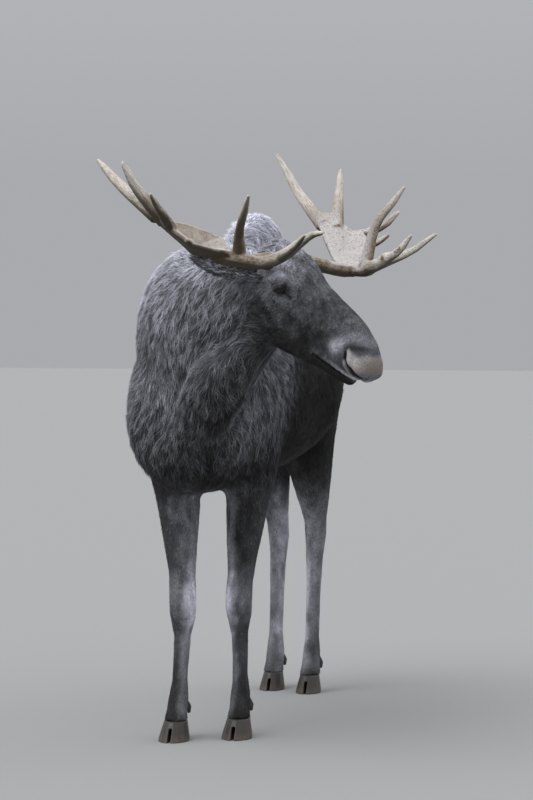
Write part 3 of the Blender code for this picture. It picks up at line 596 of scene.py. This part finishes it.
def seat_eyes(points):
    """Skin drawn in behind each open eye, and over the eyeball round it."""
    points = points.copy()
    for side in (1, -1):
        eye, along, up, out = eye_axes(side)
        rel = points - eye
        a, b, c = rel @ along, rel @ up, rel @ out
        spread = np.hypot(a, b)
        above, below = slit_height(a * 0.80)
        inside = (np.where(b > 0, b - above, -b - below) < 0.0035) & (spread < 0.024) & (c > -0.012)
        deep = np.sqrt(np.clip((EYE_RADIUS - 0.004) ** 2 - spread ** 2, 0, None)) - 0.003
        cover = np.sqrt(np.clip((EYE_RADIUS + 0.0015) ** 2 - spread ** 2, 0, None))
        near = (spread < EYE_RADIUS + 0.001) & (c > -0.012)
        wanted = np.where(inside, np.minimum(c, deep), np.where(near, np.maximum(c, cover), c))
        points += (wanted - c)[:, None] * out
    return points


def lid_mesh(side):
    """Both eyelids as one soft ring round the open eye."""
    eye, along, up, out = eye_axes(side)
    turns = np.linspace(0, 2 * pi, 48, endpoint=False)
    a = SLIT[0] * np.cos(turns)
    above, below = slit_height(a)
    b = np.where(np.sin(turns) > 0, above, -below)
    edge = np.stack([a, b], 1)
    outward = unit(np.stack([np.cos(turns), np.sin(turns) * 1.2], 1))
    rings = []
    for away, above_ball in LID:
        flat = edge + outward * away
        radius = EYE_RADIUS + above_ball
        spread = np.linalg.norm(flat, axis=1)
        height = np.where(spread < radius * 0.98, np.sqrt(np.clip(radius ** 2 - spread ** 2, 0, None)), 0)
        height = np.maximum(height, radius * 0.2) + min(above_ball, 0)
        rings.append(eye + flat[:, :1] * along + flat[:, 1:] * up + height[:, None] * out)
    mesh = loft(rings, "lid", closed_end=False)
    if (surface_of(mesh)[1] @ out).sum() < 0:
        mesh.flip_normals()
    return mesh


def ear_rings(side):
    """The ear as a cupped leaf with a rolled edge."""
    rows = smooth_rows(EAR, 4)
    middles = from_head(rows[:, :3] * [1, side, 1])
    facing = np.array(EAR_FACING) * [1, side, 1] @ HEAD
    rings = []
    angles = np.linspace(0, pi, 13)
    for i, (middle, row) in enumerate(zip(middles, rows)):
        along = unit(middles[min(i + 1, len(rows) - 1)] - middles[max(i - 1, 0)])
        across = unit(np.cross(along, facing))
        lift = np.cross(across, along)
        width, depth = row[3:]
        wall = min(0.006, depth * 0.5)
        outer = [(cos(t) * width, depth * (0.9 - 1.85 * sin(t))) for t in angles]
        inner = [(cos(t) * (width - wall), depth * (0.9 - 1.85 * sin(t)) + wall)
                 for t in angles[::-1]]
        rings.append([middle + across * x + lift * y for x, y in outer + inner])
    return rings


def skin_mesh():
    """The main skin, below the coat and under the features of the face."""
    bm = joined(FLESH, GAP_COVER)
    for side in (1, -1):
        eye = Vector(eye_axes(side)[0])
        bmesh.ops.create_uvsphere(bm, u_segments=24, v_segments=16, radius=EYE_RADIUS + 0.002,
                                  matrix=Matrix.Translation(eye))
    mesh = remeshed(bm, SKIN_VOXEL, "hide")
    relax(mesh, 5)
    sink(mesh)
    refined(mesh, lambda points: regions(points)[2] > 0.3)
    relax(mesh, 3, step(0.2, 0.5, regions(corners_of(mesh))[2]))
    refined(mesh, finely_made)
    relax(mesh, 3, finely_made(corners_of(mesh)).astype(float))
    points, normals = surface_of(mesh)
    h = both_sides(in_head(points))
    height = sum(tall * stroke(h, line, wide) for line, wide, tall in FEATURES)
    height = height * step(0.3, 0.7, regions(points)[2]) + leg_forms(points, normals)
    move_to(mesh, seat_eyes(points + normals * height[:, None]))
    return mesh


def finely_made(points):
    """The muzzle and the skin round the eyes."""
    h = both_sides(in_head(points))
    muzzle = (h[:, 0] > 0.34) & (regions(points)[2] > 0.5)
    return muzzle | (np.linalg.norm(h - EYE_PLACE, axis=1) < 0.055)


def leg_forms(points, normals):
    """Tendons and joints of the legs, and the crease of the brisket."""
    p, _, head, _, leg = regions(points)
    z = p[:, 2]
    rel = leg_axes(points)[1]
    hind = step(0.5, 0.7, p[:, 1])
    cannon = step(0.13, 0.20, z) * step(blend(0.44, 0.60, hind), blend(0.34, 0.50, hind), z)
    groove = bell(rel[:, 1], 0.010, 0.007) * np.abs(normals[:, 0])
    knee = bell(z, 0.51, 0.050) * step(-0.2, -0.8, normals[:, 1]) * (1 - hind)
    arm = bell(rel[:, 1], -0.012, 0.012) * step(0.58, 0.68, z) * step(1.0, 0.85, z)
    out = 0.005 * knee - 0.0035 * groove * cannon - 0.004 * arm * np.abs(normals[:, 0]) * (1 - hind)
    folds = 0.014 * band(p, CREASE, 0.024) + 0.012 * band(p, FOLD, 0.020)
    return out * leg - folds * (1 - head)


def sink(mesh):
    """The skin drawn in below the tips of the coat."""
    points, normals = surface_of(mesh)
    depth = coat_depth(points) * (1 + 0.15 * waver(points, 0.10, 21))
    move_to(mesh, points - normals * depth[:, None])


def mark(mesh):
    """What the hide's finish reads at each corner of its mesh."""
    points, normals = surface_of(mesh)
    h = both_sides(in_head(points))
    head = regions(points)[2]
    # bare: near black in the finish; dark skin of the lids and lips, and painted shade in the nostrils,
    # their hollows and the mouth line.
    bare = stroke(h, NOSTRIL, 0.0050, 4) + stroke(h, MOUTH, 0.0055, 4) + stroke(h, HOLLOW, 0.0155, 6)
    set_values(mesh, tone=coat_tone(points, normals), lock=0.5 + 0.5 * waver(points, 0.006, 31),
               on_head=head, bare=np.clip(1.2 * bare + 0.95 * step(1.75, 1.35, round_eye(h)), 0, 1),
               pad=np.maximum(nose_pad(h), 0.9 * stroke(h, WING, 0.0065)) * head,
               front=step(0.505, 0.565, h[:, 0]))


# ------------ coat
# A lock has a left corner, a ridge and a right corner at its root and at its middle, then a tip
LOCK_ROWS = ((0.0, 0.62, 0.30), (0.45, 1.0, 0.55))  # place along it, half width, ridge
LOCK_ALONG = [0, 0, 0, 0.45, 0.5, 0.45, 1.0]
LOCK_FACES = np.array([0, 1, 4, 3, 1, 2, 5, 4, 3, 4, 6, 4, 5, 6])
LOCK_SIDES = np.array([4, 4, 3, 3])
CORNERS = len(LOCK_ALONG)  # of each lock
# The same corners on a lock's patch of its piece's unwrap
PATCH = 0.003 * np.array([[0, 0], [0.5, 0], [1, 0], [0, 0.45], [0.5, 0.45], [1, 0.45], [0.5, 1]])


def scatter(mesh, spacing, rng):
    """Roots spread over a mesh about as far apart as spacing says, with their normals."""
    points, normals = surface_of(mesh)
    mesh.calc_loop_triangles()
    tri = read(mesh.loop_triangles, "vertices", 3, np.int32)
    a, b, c = points[tri.T]
    area = np.linalg.norm(np.cross(b - a, c - a), axis=1) / 2
    total = np.cumsum(area / spacing((a + b + c) / 3) ** 2)
    count = int(total[-1])
    reached = (np.arange(count) + rng.random(count)) * total[-1] / count
    pick = np.minimum(np.searchsorted(total, reached), len(tri) - 1)
    r, q = np.sqrt(rng.random(count)), rng.random(count)
    share = np.stack([1 - r, r * (1 - q), r * q], 1)[:, :, None]
    return (points[tri[pick]] * share).sum(1), unit((normals[tri[pick]] * share).sum(1))


def locks(name, roots, normals, way, length, width, lift, tone, lock, unwrap_places, rng):
    """A mesh of thin ridged locks, each lying along the body and tapering to its tip."""
    count = len(roots)
    side = np.cross(normals, way)
    sway = rng.normal(0, 0.12, count)

    def middle_at(t):
        rise = length * (lift * t - 0.62 * lift * t * t) - 0.0012 * (1 - t)
        on_skin = roots + way * (length * t)[:, None] + side * (length * sway * t * t)[:, None]
        return on_skin + normals * rise[:, None]

    rows = []
    for t, spread, ridge in LOCK_ROWS:
        middle = middle_at(t)
        out = side * (width * spread)[:, None]
        rows += [middle - out, middle + normals * (width * ridge)[:, None], middle + out]
    points = np.stack(rows + [middle_at(1.0)], 1)
    each = np.arange(count)[:, None]
    mesh = bpy.data.meshes.new(name)
    mesh.vertices.add(count * CORNERS)
    write(mesh.vertices, "co", points)
    mesh.loops.add(count * len(LOCK_FACES))
    write(mesh.loops, "vertex_index", LOCK_FACES + CORNERS * each, np.int32)
    starts = np.cumsum(LOCK_SIDES) - LOCK_SIDES + len(LOCK_FACES) * each
    mesh.polygons.add(count * len(LOCK_SIDES))
    write(mesh.polygons, "loop_start", starts, np.int32)
    write(mesh.polygons, "loop_total", np.tile(LOCK_SIDES, count), np.int32)
    mesh.update(calc_edges=True)
    unwrap = mesh.uv_layers.new(name="OFBake")
    spots = unwrap_places[:, None] + PATCH[LOCK_FACES]
    write(unwrap.data, "uv", spots, np.float32)
    set_values(mesh, tone=np.repeat(tone, CORNERS), along=np.tile(LOCK_ALONG, count),
               lock=np.repeat(lock, CORNERS))
    return mesh


def fitted(values):
    """Values spread over the unwrap, leaving room for a patch."""
    low, high = values.min(), values.max()
    return 0.004 + (values - low) / max(high - low, 1e-9) * 0.988


def wrapped(points, origin, axis, up):
    """Unwrap of skin round an axis: round it, and along it."""
    rel = points - origin
    axis, up = unit(axis), np.array(up)
    up = unit(up - axis * (up @ axis))
    round_it = np.arctan2(rel @ np.cross(axis, up), rel @ up)
    return np.stack([fitted(round_it), fitted(rel @ axis)], 1)


def unwrapped(name, points):
    """The places of roots on the unwrap of their own stretch of skin."""
    p = points - GROUND
    if name == "head":
        return wrapped(points, from_head([0, 0, -0.08]), FACE, -BROW)
    if name.startswith("neck"):
        return wrapped(points, GROUND + [0.05, -0.2, 1.50], (0.45, -0.80, 0.35), UP)
    if name.startswith("leg"):
        rel = leg_axes(points)[1]
        return np.stack([fitted(np.arctan2(rel[:, 0], rel[:, 1])), fitted(p[:, 2])], 1)
    return wrapped(points, GROUND + [0.0, 0.0, 1.35], (0, 1, 0), UP)


def stretch_of(points):
    """Which piece of the coat each root belongs to."""
    p, _, head, neck, leg = regions(points)
    middle = np.interp(p[:, 1], [-0.39, -0.275, -0.185, -0.06], [0.33, 0.125, 0.035, -0.02])
    side = np.where(p[:, 0] > middle, "left", "right")
    rear = np.where(p[:, 1] < 0.95, "flank_", "rump_")
    names = np.char.add(np.where(p[:, 1] < 0.40, "shoulder_", rear), side)
    names = np.where(neck > 0.5, np.char.add("neck_", side), names)
    names = np.where(leg > 0.5, np.char.add("leg_", leg_axes(points)[0]), names)
    return np.where(head > 0.5, "head", names)


def spacing_at(points):
    """How far apart roots are: the shorter the hair the closer, but thinner on the legs."""
    spacing = np.interp(coat_length(points), [0.0048, 0.010, 0.024, 0.060],
                        [0.0029, 0.0038, 0.0048, 0.0054])
    return spacing * (1.055 + 0.39 * regions(points)[4])


def clumped(roots, normals, way, size, seed):
    """The ways bent towards the middles of clumps, and how near a middle each root is."""
    side = np.cross(normals, way)
    aside = side * size * 0.3
    gather = waver(roots + aside, size, seed) - waver(roots - aside, size, seed)
    return unit(way + side * (0.75 * gather)[:, None]), waver(roots, size, seed)


def hairless(roots, rng):
    """Which roots carry no lock: in the open eyes, behind the lids, in nostrils and mouth."""
    h = both_sides(in_head(roots))
    bare = round_eye(h) < 1.30
    for side in (1, -1):
        eye, along, up, out = eye_axes(side)
        rel = roots - eye
        spread = np.hypot(rel @ along, rel @ up)
        ball = np.sqrt(np.clip((EYE_RADIUS + 0.0012) ** 2 - spread ** 2, 0, None))
        bare |= (spread < EYE_RADIUS) & (rel @ out < ball)
    for line, reach in ((NOSTRIL, 0.006), (MOUTH, 0.006), (HOLLOW, 0.0170)):
        bare |= off_line(h, line) < reach
    return bare | (nose_pad(h) > 0.5) & (rng.random(len(h)) < 0.80)


def grow_coat(mesh, finish):
    rng = np.random.default_rng(7)
    roots, normals = scatter(mesh, spacing_at, rng)
    haired = ~hairless(roots, rng)
    roots, normals = roots[haired], normals[haired]
    count = len(roots)
    length = coat_length(roots) * (1 + 0.22 * waver(roots, 0.03, 41)) * rng.uniform(0.70, 1.25, count)
    width = np.interp(length, [0.0045, 0.010, 0.020, 0.060], [0.00048, 0.00070, 0.00085, 0.0010])
    width *= rng.uniform(0.70, 1.30, count)
    way = lie_of_coat(roots, normals)
    coarse, near_coarse = clumped(roots, normals, way, 0.020, 43)
    fine, near_fine = clumped(roots, normals, way, 0.009, 44)
    shaggy = step(0.012, 0.030, coat_length(roots))
    way = blend(fine, coarse, shaggy[:, None])
    way = unit(way + np.cross(normals, way) * rng.normal(0, 0.12, count)[:, None])
    middle = blend(near_fine, near_coarse, shaggy)
    _, _, head, _, leg = regions(roots)
    lift = blend(0.40, 0.30, np.maximum(head, leg)) * (1 + 0.45 * middle)
    stray = rng.random(count) < 0.07
    lift *= np.where(stray, 1.6, 1.0)
    lock = np.clip(0.46 + 0.32 * middle + rng.uniform(-0.28, 0.28, count) + 0.30 * stray, 0.0, 1.0)
    tone = coat_tone(roots, normals)
    names = stretch_of(roots)
    each = roots, normals, way, length, width, lift, tone, lock
    for name in np.unique(names):
        own = names == name
        places = unwrapped(name, roots[own])
        coat = locks("coat_" + name, *(values[own] for values in each), places, rng)
        place("coat_" + name, coat, finish, "coat_leg" if name.startswith("leg") else "coat_dark")


def grow_ear_coat(meshes, finish):
    """Short hair over the ears, with some longer wisps."""
    rng = np.random.default_rng(8)
    parts = []
    for side, mesh in meshes:
        roots, normals = scatter(mesh, lambda p: np.full(len(p), 0.0031), rng)
        to_tip = unit([-0.16, 0.195 * side, -0.037] @ HEAD)
        way = unit(to_tip - normals * (normals @ to_tip)[:, None])
        parts.append((roots, normals, unit(way + rng.normal(0, 0.16, roots.shape))))
    roots, normals, way = [np.concatenate(part) for part in zip(*parts)]
    count = len(roots)
    length = rng.uniform(0.010, 0.020, count) * np.where(rng.random(count) < 0.12, 1.8, 1.0)
    unwrap_places = wrapped(roots, from_head([-0.08, 0, -0.1]), LEFT, BROW)
    coat = locks("coat_ears", roots, normals, way, length, length * 0.075 + 0.0003,
                 np.full(count, 0.45), 0.20 + 0.16 * rng.random(count),
                 rng.random(count), unwrap_places, rng)
    place("coat_ears", coat, finish, "coat_dark")


# ------------ finishes
def maths(operation, turned=False):
    """An operator between a socket and a number or another socket."""
    def made(self, other):
        pair = (other, self) if turned else (self, other)
        return self.finish.node("Math", dict(enumerate(pair)), operation=operation)
    return made


class Wire:
    """A socket of a material, which adds, takes and multiplies as a number does."""

    __add__ = __radd__ = maths("ADD")
    __sub__ = maths("SUBTRACT")
    __rsub__ = maths("SUBTRACT", True)
    __mul__ = __rmul__ = maths("MULTIPLY")
    __truediv__ = maths("DIVIDE")
    __pow__ = maths("POWER")

    def __init__(self, finish, socket):
        self.finish = finish
        self.socket = socket


class Finish:
    """A material or a sky under making; node() adds any node and gives back one of its outputs."""

    def __init__(self, holder, shader="Principled BSDF"):
        holder.use_nodes = True
        self.holder = holder
        self.tree = holder.node_tree
        self.shader = self.tree.nodes[shader]

    def node(self, kind, sockets, output=0, **settings):
        made = self.tree.nodes.new("ShaderNode" + kind)
        for name, value in settings.items():
            setattr(made, name, value)
        for name, value in sockets.items():
            self.feed(made.inputs[name], value)
        return Wire(self, made.outputs[output])

    def feed(self, socket, value):
        if isinstance(value, Wire):
            self.tree.links.new(value.socket, socket)
        else:
            socket.default_value = (*value, 1.0) if socket.type == "RGBA" else value

    def value(self, name):
        return self.node("Attribute", {}, 2, attribute_name=name)

    def here(self):
        """The place that is being coloured."""
        return self.node("NewGeometry", {})

    def stretched(self, scales):
        return self.node("Mapping", {0: self.here(), 3: scales})

    def noise(self, scale, vector=None, detail=3.0, roughness=0.55):
        return self.node("TexNoise", {"Vector": vector or self.here(), "Scale": scale,
                                      "Detail": detail, "Roughness": roughness})

    def grade(self, factor, *stops):
        graded = self.node("ValToRGB", {0: factor})
        ramp = graded.socket.node.color_ramp.elements
        while len(ramp) < len(stops):
            ramp.new(0.5)
        for element, (position, colour) in zip(ramp, stops):
            element.position = position
            element.color = (*colour, 1.0)
        return graded

    def between(self, factor, first, second):
        return self.node("Mix", {0: factor, 6: first, 7: second}, 2, data_type="RGBA")

    def scaled(self, colour, factor):
        return self.node("VectorMath", {0: colour, 3: factor}, operation="SCALE")

    def shape(self, low, high, value):
        """0 at low and 1 at high, with soft ends."""
        return self.node("MapRange", {0: value, 1: low, 2: high}, interpolation_type="SMOOTHSTEP")

    def bump(self, height, strength, distance):
        sockets = {"Strength": strength, "Distance": distance, "Height": height}
        self.set("Normal", self.node("Bump", sockets))

    def set(self, name, value):
        self.feed(self.shader.inputs[name], value)
        return self

    def done(self, colour, roughness, specular=0.5):
        self.set("Base Color", colour).set("Roughness", roughness)
        return self.set("Specular IOR Level", specular).holder


def material(name):
    return Finish(bpy.data.materials.new(name))


def hair_colour(finish, shade):
    """Dark brown-black hair, greyer the paler it is, with a cool cast on pale hair that is painted sky
    sheen.
    """
    tint = finish.grade(shade, (0.0, (1.02, 0.97, 0.94)), (0.06, (0.96, 0.975, 1.06)),
                        (0.40, (0.955, 0.965, 1.10)))
    return finish.scaled(tint, shade)


def coat_finish():
    finish = material("coat")
    along, lock = finish.value("along"), finish.value("lock")
    mottle = finish.noise(330.0, detail=2.0)
    broken = finish.shape(0.36, 0.64, mottle)
    shade = finish.value("tone") * (0.16 + 1.6 * along ** 1.5) * (0.18 + 2.2 * lock ** 1.7)
    shade = shade * (0.50 + broken)
    shade = 1.05 * shade / (1 + 0.75 * shade)  # pale hair keeps its locks apart
    return finish.done(hair_colour(finish, shade), 0.60, 0.22)


def hide_finish():
    """Short flat fur and skin: fine streaks run down the legs and along the face."""
    finish = material("hide")
    down = finish.noise(1.0, finish.stretched((620.0, 620.0, 85.0)), 2.0)
    over = finish.noise(1.0, finish.stretched((420.0, 330.0, 520.0)), 2.0)
    on_head = finish.value("on_head")
    streak = finish.node("Mix", {0: on_head, 2: down, 3: over}, data_type="FLOAT")
    grain = finish.shape(0.42, 0.60, finish.noise(480.0, detail=3.0))
    shade = finish.value("tone") * (0.22 + 0.75 * streak) * (0.70 + 0.5 * finish.value("lock"))
    shade = shade * (1 + on_head * (1.25 * grain - 0.60))
    bare, pad = finish.value("bare"), finish.value("pad")
    pebble = finish.noise(380.0, detail=4.0)
    nose = finish.between(finish.value("front"), (0.520, 0.480, 0.480), (0.250, 0.215, 0.180))
    nose = finish.scaled(nose, 0.40 + 1.1 * finish.shape(0.30, 0.75, pebble))
    colour = finish.between(pad * 0.90, hair_colour(finish, shade), nose)
    # Near black where bare: dark skin of the lids and lips, and painted shade in the nostrils, their
    # hollows and the mouth line.
    colour = finish.between(bare, colour, (0.010, 0.008, 0.008))
    finish.bump(streak * (1 - pad) + 0.6 * pebble * pad, 0.55, 0.0016)
    return finish.done(colour, 0.75 - 0.35 * bare - 0.15 * pad, 0.25)


def antler_finish():
    """Bare bone: brown and furrowed, grey and speckled inside the palm, rubbed pale at the tips, with
    painted shade, near black and olive, on the undersides.
    """
    finish = material("antler")
    furrow, tip, under = finish.value("furrow"), finish.value("tip"), finish.value("under")
    rays = finish.node("Attribute", {}, 1, attribute_name="rays")
    groove = finish.noise(1.0, finish.scaled(rays, 220.0), 4.0)
    blotch = finish.noise(24.0, detail=4.0)
    bone = finish.between(finish.shape(0.35, 0.65, blotch),
                          (0.270, 0.195, 0.130), (0.460, 0.385, 0.300))
    speckle = finish.shape(0.545, 0.620, finish.noise(120.0, detail=6.0, roughness=0.75))
    inner = finish.between(finish.shape(0.40, 0.62, groove),
                           (0.700, 0.675, 0.670), (0.460, 0.420, 0.405))
    inner = finish.between(speckle * 0.85, inner, (0.110, 0.090, 0.080))
    palm = finish.value("palm")
    bone = finish.between(palm * 0.92, bone, inner)
    # Painted shade on the undersides: near black olive where the bone faces down and out; the pale rubbed
    # tips stay off it.
    bone = finish.between(finish.shape(0.50, 0.82, under) * 0.96, bone, (0.028, 0.023, 0.009))
    bone = finish.between(tip * 0.80 * finish.shape(1.0, 0.55, under), bone, (0.780, 0.730, 0.660))
    dark = finish.shape(0.54, 0.42, groove * 0.85 + furrow * 0.15) * (1 - 0.55 * tip)
    dark = dark * (1 - palm) * 0.75
    finish.bump(groove + 0.25 * finish.noise(420.0, detail=3.0), 0.6, 0.0030)
    return finish.done(finish.between(dark, bone, (0.070, 0.046, 0.028)), 0.55 + 0.2 * blotch, 0.35)


def horn_finish():
    """Dark horn with growth rings, dusty towards the ground."""
    finish = material("horn")
    height = finish.node("SeparateXYZ", {0: finish.here()}, 2)
    rings = finish.noise(1.0, finish.stretched((12.0, 12.0, 420.0)), 2.0)
    fibre = finish.noise(1.0, finish.stretched((520.0, 520.0, 40.0)), 3.0)
    dust = finish.shape(0.035, 0.0, height) * finish.noise(60.0)
    horn = finish.between(rings, (0.020, 0.016, 0.013), (0.060, 0.050, 0.040))
    finish.bump(rings + 0.5 * fibre, 0.4, 0.0015)
    return finish.done(finish.between(dust, horn, (0.16, 0.13, 0.095)), 0.42 + 0.35 * dust)


def eye_finish():
    """A dark brown eye with a long level pupil, under a wet clear cornea."""
    finish = material("eye")
    ring, pupil = finish.value("ring"), finish.value("pupil")
    iris = finish.between(finish.noise(900.0), (0.007, 0.004, 0.003), (0.022, 0.011, 0.006))
    white = finish.between(finish.shape(0.80, 0.90, ring), iris, (0.022, 0.016, 0.014))
    return finish.done(finish.between(pupil, white, (0.002, 0.002, 0.003)), 0.07, 0.30)


# ------------ antlers, feet and eyes
# Behind the crown and between the beams, in the animal's axes; from there the middle of the
# palm and the foot of the beam, forward, outward and up
ANTLER_PLACE = (0.305, -0.366, 1.790)
PALM = (0.030, 0.405, 0.022)
BEAM_FOOT = (0.085, 0.050, 0.000)


def antler(word, side, finish):
    nodes = ["antler_%s_%s" % (word, part) for part in ("beam", "palm", "brow")]
    mesh = remeshed(joined(nodes, GAP_COVER), ANTLER_VOXEL, "antler_" + word)
    relax(mesh, 14)
    points, normals = surface_of(mesh)
    level = np.array([LEVEL, LEFT * side, UP])
    own = (points - GROUND - ANTLER_PLACE) @ level.T
    rel = own - PALM
    far = np.linalg.norm(rel, axis=1)
    ways = rel / far[:, None]
    furrow = (0.6 * waver(ways * 0.34 + rel * 0.10, 0.030, 51)
              + 0.4 * waver(ways * 0.34 + rel * 0.20, 0.013, 52))
    slim = step(0.17, 0.33, far) * (own[:, 1] > 0.24)
    outer = own[:, 1] > 0.22
    # under: how far each place faces down and out, which takes the painted shade of the undersides.
    under, inside = [normals @ (unit(way) @ level) for way in
                     ((0.10, 0.25, -0.96), (-0.15, -0.45, 0.88))]
    burr = spot(own, BEAM_FOOT, 0.045) * (0.003 + 0.003 * waver(own, 0.009, 53))
    swell = 0.0009 * furrow * (1 - 0.9 * slim) + burr
    move_to(mesh, points + normals * swell[:, None])
    set_values(mesh, furrow=0.5 + 0.5 * furrow, rays=ways * 0.34 + rel * 0.08,
               tip=step(0.20, 0.36, far + 0.02 * waver(own, 0.03, 54)) * outer,
               under=0.5 + 0.5 * under,
               palm=step(0.05, 0.55, inside) * step(0.30, 0.17, far) * outer)
    place("antler_" + word, mesh, finish, "antler", *nodes)


def foot(word, finish):
    """A hoof and its two dewclaws."""
    for node, voxel, rounds in (("hoof_" + word, HOOF_VOXEL, 4),
                                ("dewclaw_%s_left" % word, CLAW_VOXEL, 6),
                                ("dewclaw_%s_right" % word, CLAW_VOXEL, 6)):
        mesh = remeshed(joined([node], 0.0), voxel, node)
        relax(mesh, rounds)
        place(node + "_horn", mesh, finish, "hoof", node)


def eye(word, side, finish):
    middle, along, up, out = eye_axes(side)
    bm = bmesh.new()
    bmesh.ops.create_uvsphere(bm, u_segments=48, v_segments=32, radius=1.0)
    mesh = mesh_of(bm, "eye_" + word)
    ball = corners_of(mesh)
    height = ball[:, 2]
    cornea = 1.0 + 0.055 * step(0.62, 0.85, height)
    points = ball * cornea[:, None] * (EYE_RADIUS - 0.0004)
    move_to(mesh, middle + points @ np.array([along, up, out]))
    if side < 0:
        mesh.flip_normals()
    oval = np.hypot(ball[:, 0] / 0.44, ball[:, 1] / 0.20)
    set_values(mesh, ring=np.hypot(ball[:, 0], ball[:, 1]) + (height < 0),
               pupil=step(1.12, 0.95, oval) * (height > 0))
    place("eye_%s_ball" % word, mesh, finish, "eye", "eye_" + word)


# ------------ the model
def build_model():
    coat, horn, bone, wet = coat_finish(), horn_finish(), antler_finish(), eye_finish()
    skin = one_mesh("skin", skin_mesh(), lid_mesh(1), lid_mesh(-1))
    grow_coat(skin, coat)
    ears = [(side, loft(ear_rings(side), "ear")) for side in (1, -1)]
    grow_ear_coat(ears, coat)
    whole = one_mesh("hide", skin, *(mesh for _, mesh in ears))
    mark(whole)
    place("hide", whole, hide_finish(), "coat_dark", "ear_left", "ear_right", *FLESH)
    for word, side in (("left", 1), ("right", -1)):
        antler(word, side, bone)
        eye(word, side, wet)
        foot("front_" + word, horn)
        foot("hind_" + word, horn)


# ------------ floor, light and camera
AZIMUTH = radians(14.3)  # how far round the camera stands
DISTANCE = 10.0
ASIDE = 0.2068  # how far it stands to the right of the fore feet
EYE_LEVEL = 1.624
TILT = radians(1.955)  # how far it looks down
FOCAL_LENGTH = 118.69  # millimetres
FLOOR_REACH = 60.0
HORIZON, ZENITH = 0.42, 1.15  # the sky's light, level and overhead
SUNS = [  # name, the way it shines, degrees across, strength
    ("key", (0.45, 0.50, -1.0), 50.0, 1.3),
    ("rim", (-0.8, -0.9, -0.9), 40.0, 0.25),
]


def aimed(thing, way):
    thing.rotation_euler = way.to_track_quat("-Z", "Y").to_euler()


def lay_floor():
    mesh = bpy.data.meshes.new("floor")
    corners = [(FLOOR_REACH * x, FLOOR_REACH * y, 0) for x, y in ((-1, -1), (1, -1), (1, 1), (-1, 1))]
    mesh.from_pydata(corners, [], [(0, 1, 2, 3)])
    mesh.materials.append(material("floor").done((0.36, 0.36, 0.355), 0.95, 0.1))
    linked("floor", mesh)


def light():
    world = bpy.data.worlds.new("studio")
    sky = Finish(world, "Background")
    height = sky.node("SeparateXYZ", {0: sky.node("TexCoord", {}, "Generated")}, 2)
    dome = sky.node("MapRange", {"Value": height, "From Min": 0.05,
                                 "To Min": HORIZON, "To Max": ZENITH})
    sky.set("Color", (0.94, 0.96, 1.0)).set("Strength", dome)
    bpy.context.scene.world = world
    for name, way, across, strength in SUNS:
        lamp = bpy.data.lights.new(name, "SUN")
        lamp.energy = strength
        lamp.angle = radians(across)
        aimed(linked(name, lamp), Vector(way))


def set_camera():
    right = Vector((cos(AZIMUTH), sin(AZIMUTH), 0))
    ahead = Vector((-sin(AZIMUTH), cos(AZIMUTH), 0))
    lens = bpy.data.cameras.new("camera")
    lens.lens = FOCAL_LENGTH
    camera = linked("camera", lens)
    camera.location = ground + right * ASIDE - ahead * DISTANCE + UP * EYE_LEVEL
    aimed(camera, ahead * cos(TILT) - UP * sin(TILT))
    bpy.context.scene.camera = camera
    bpy.context.scene.view_settings.view_transform = "Standard"


build_model()
lay_floor()
light()
set_camera()
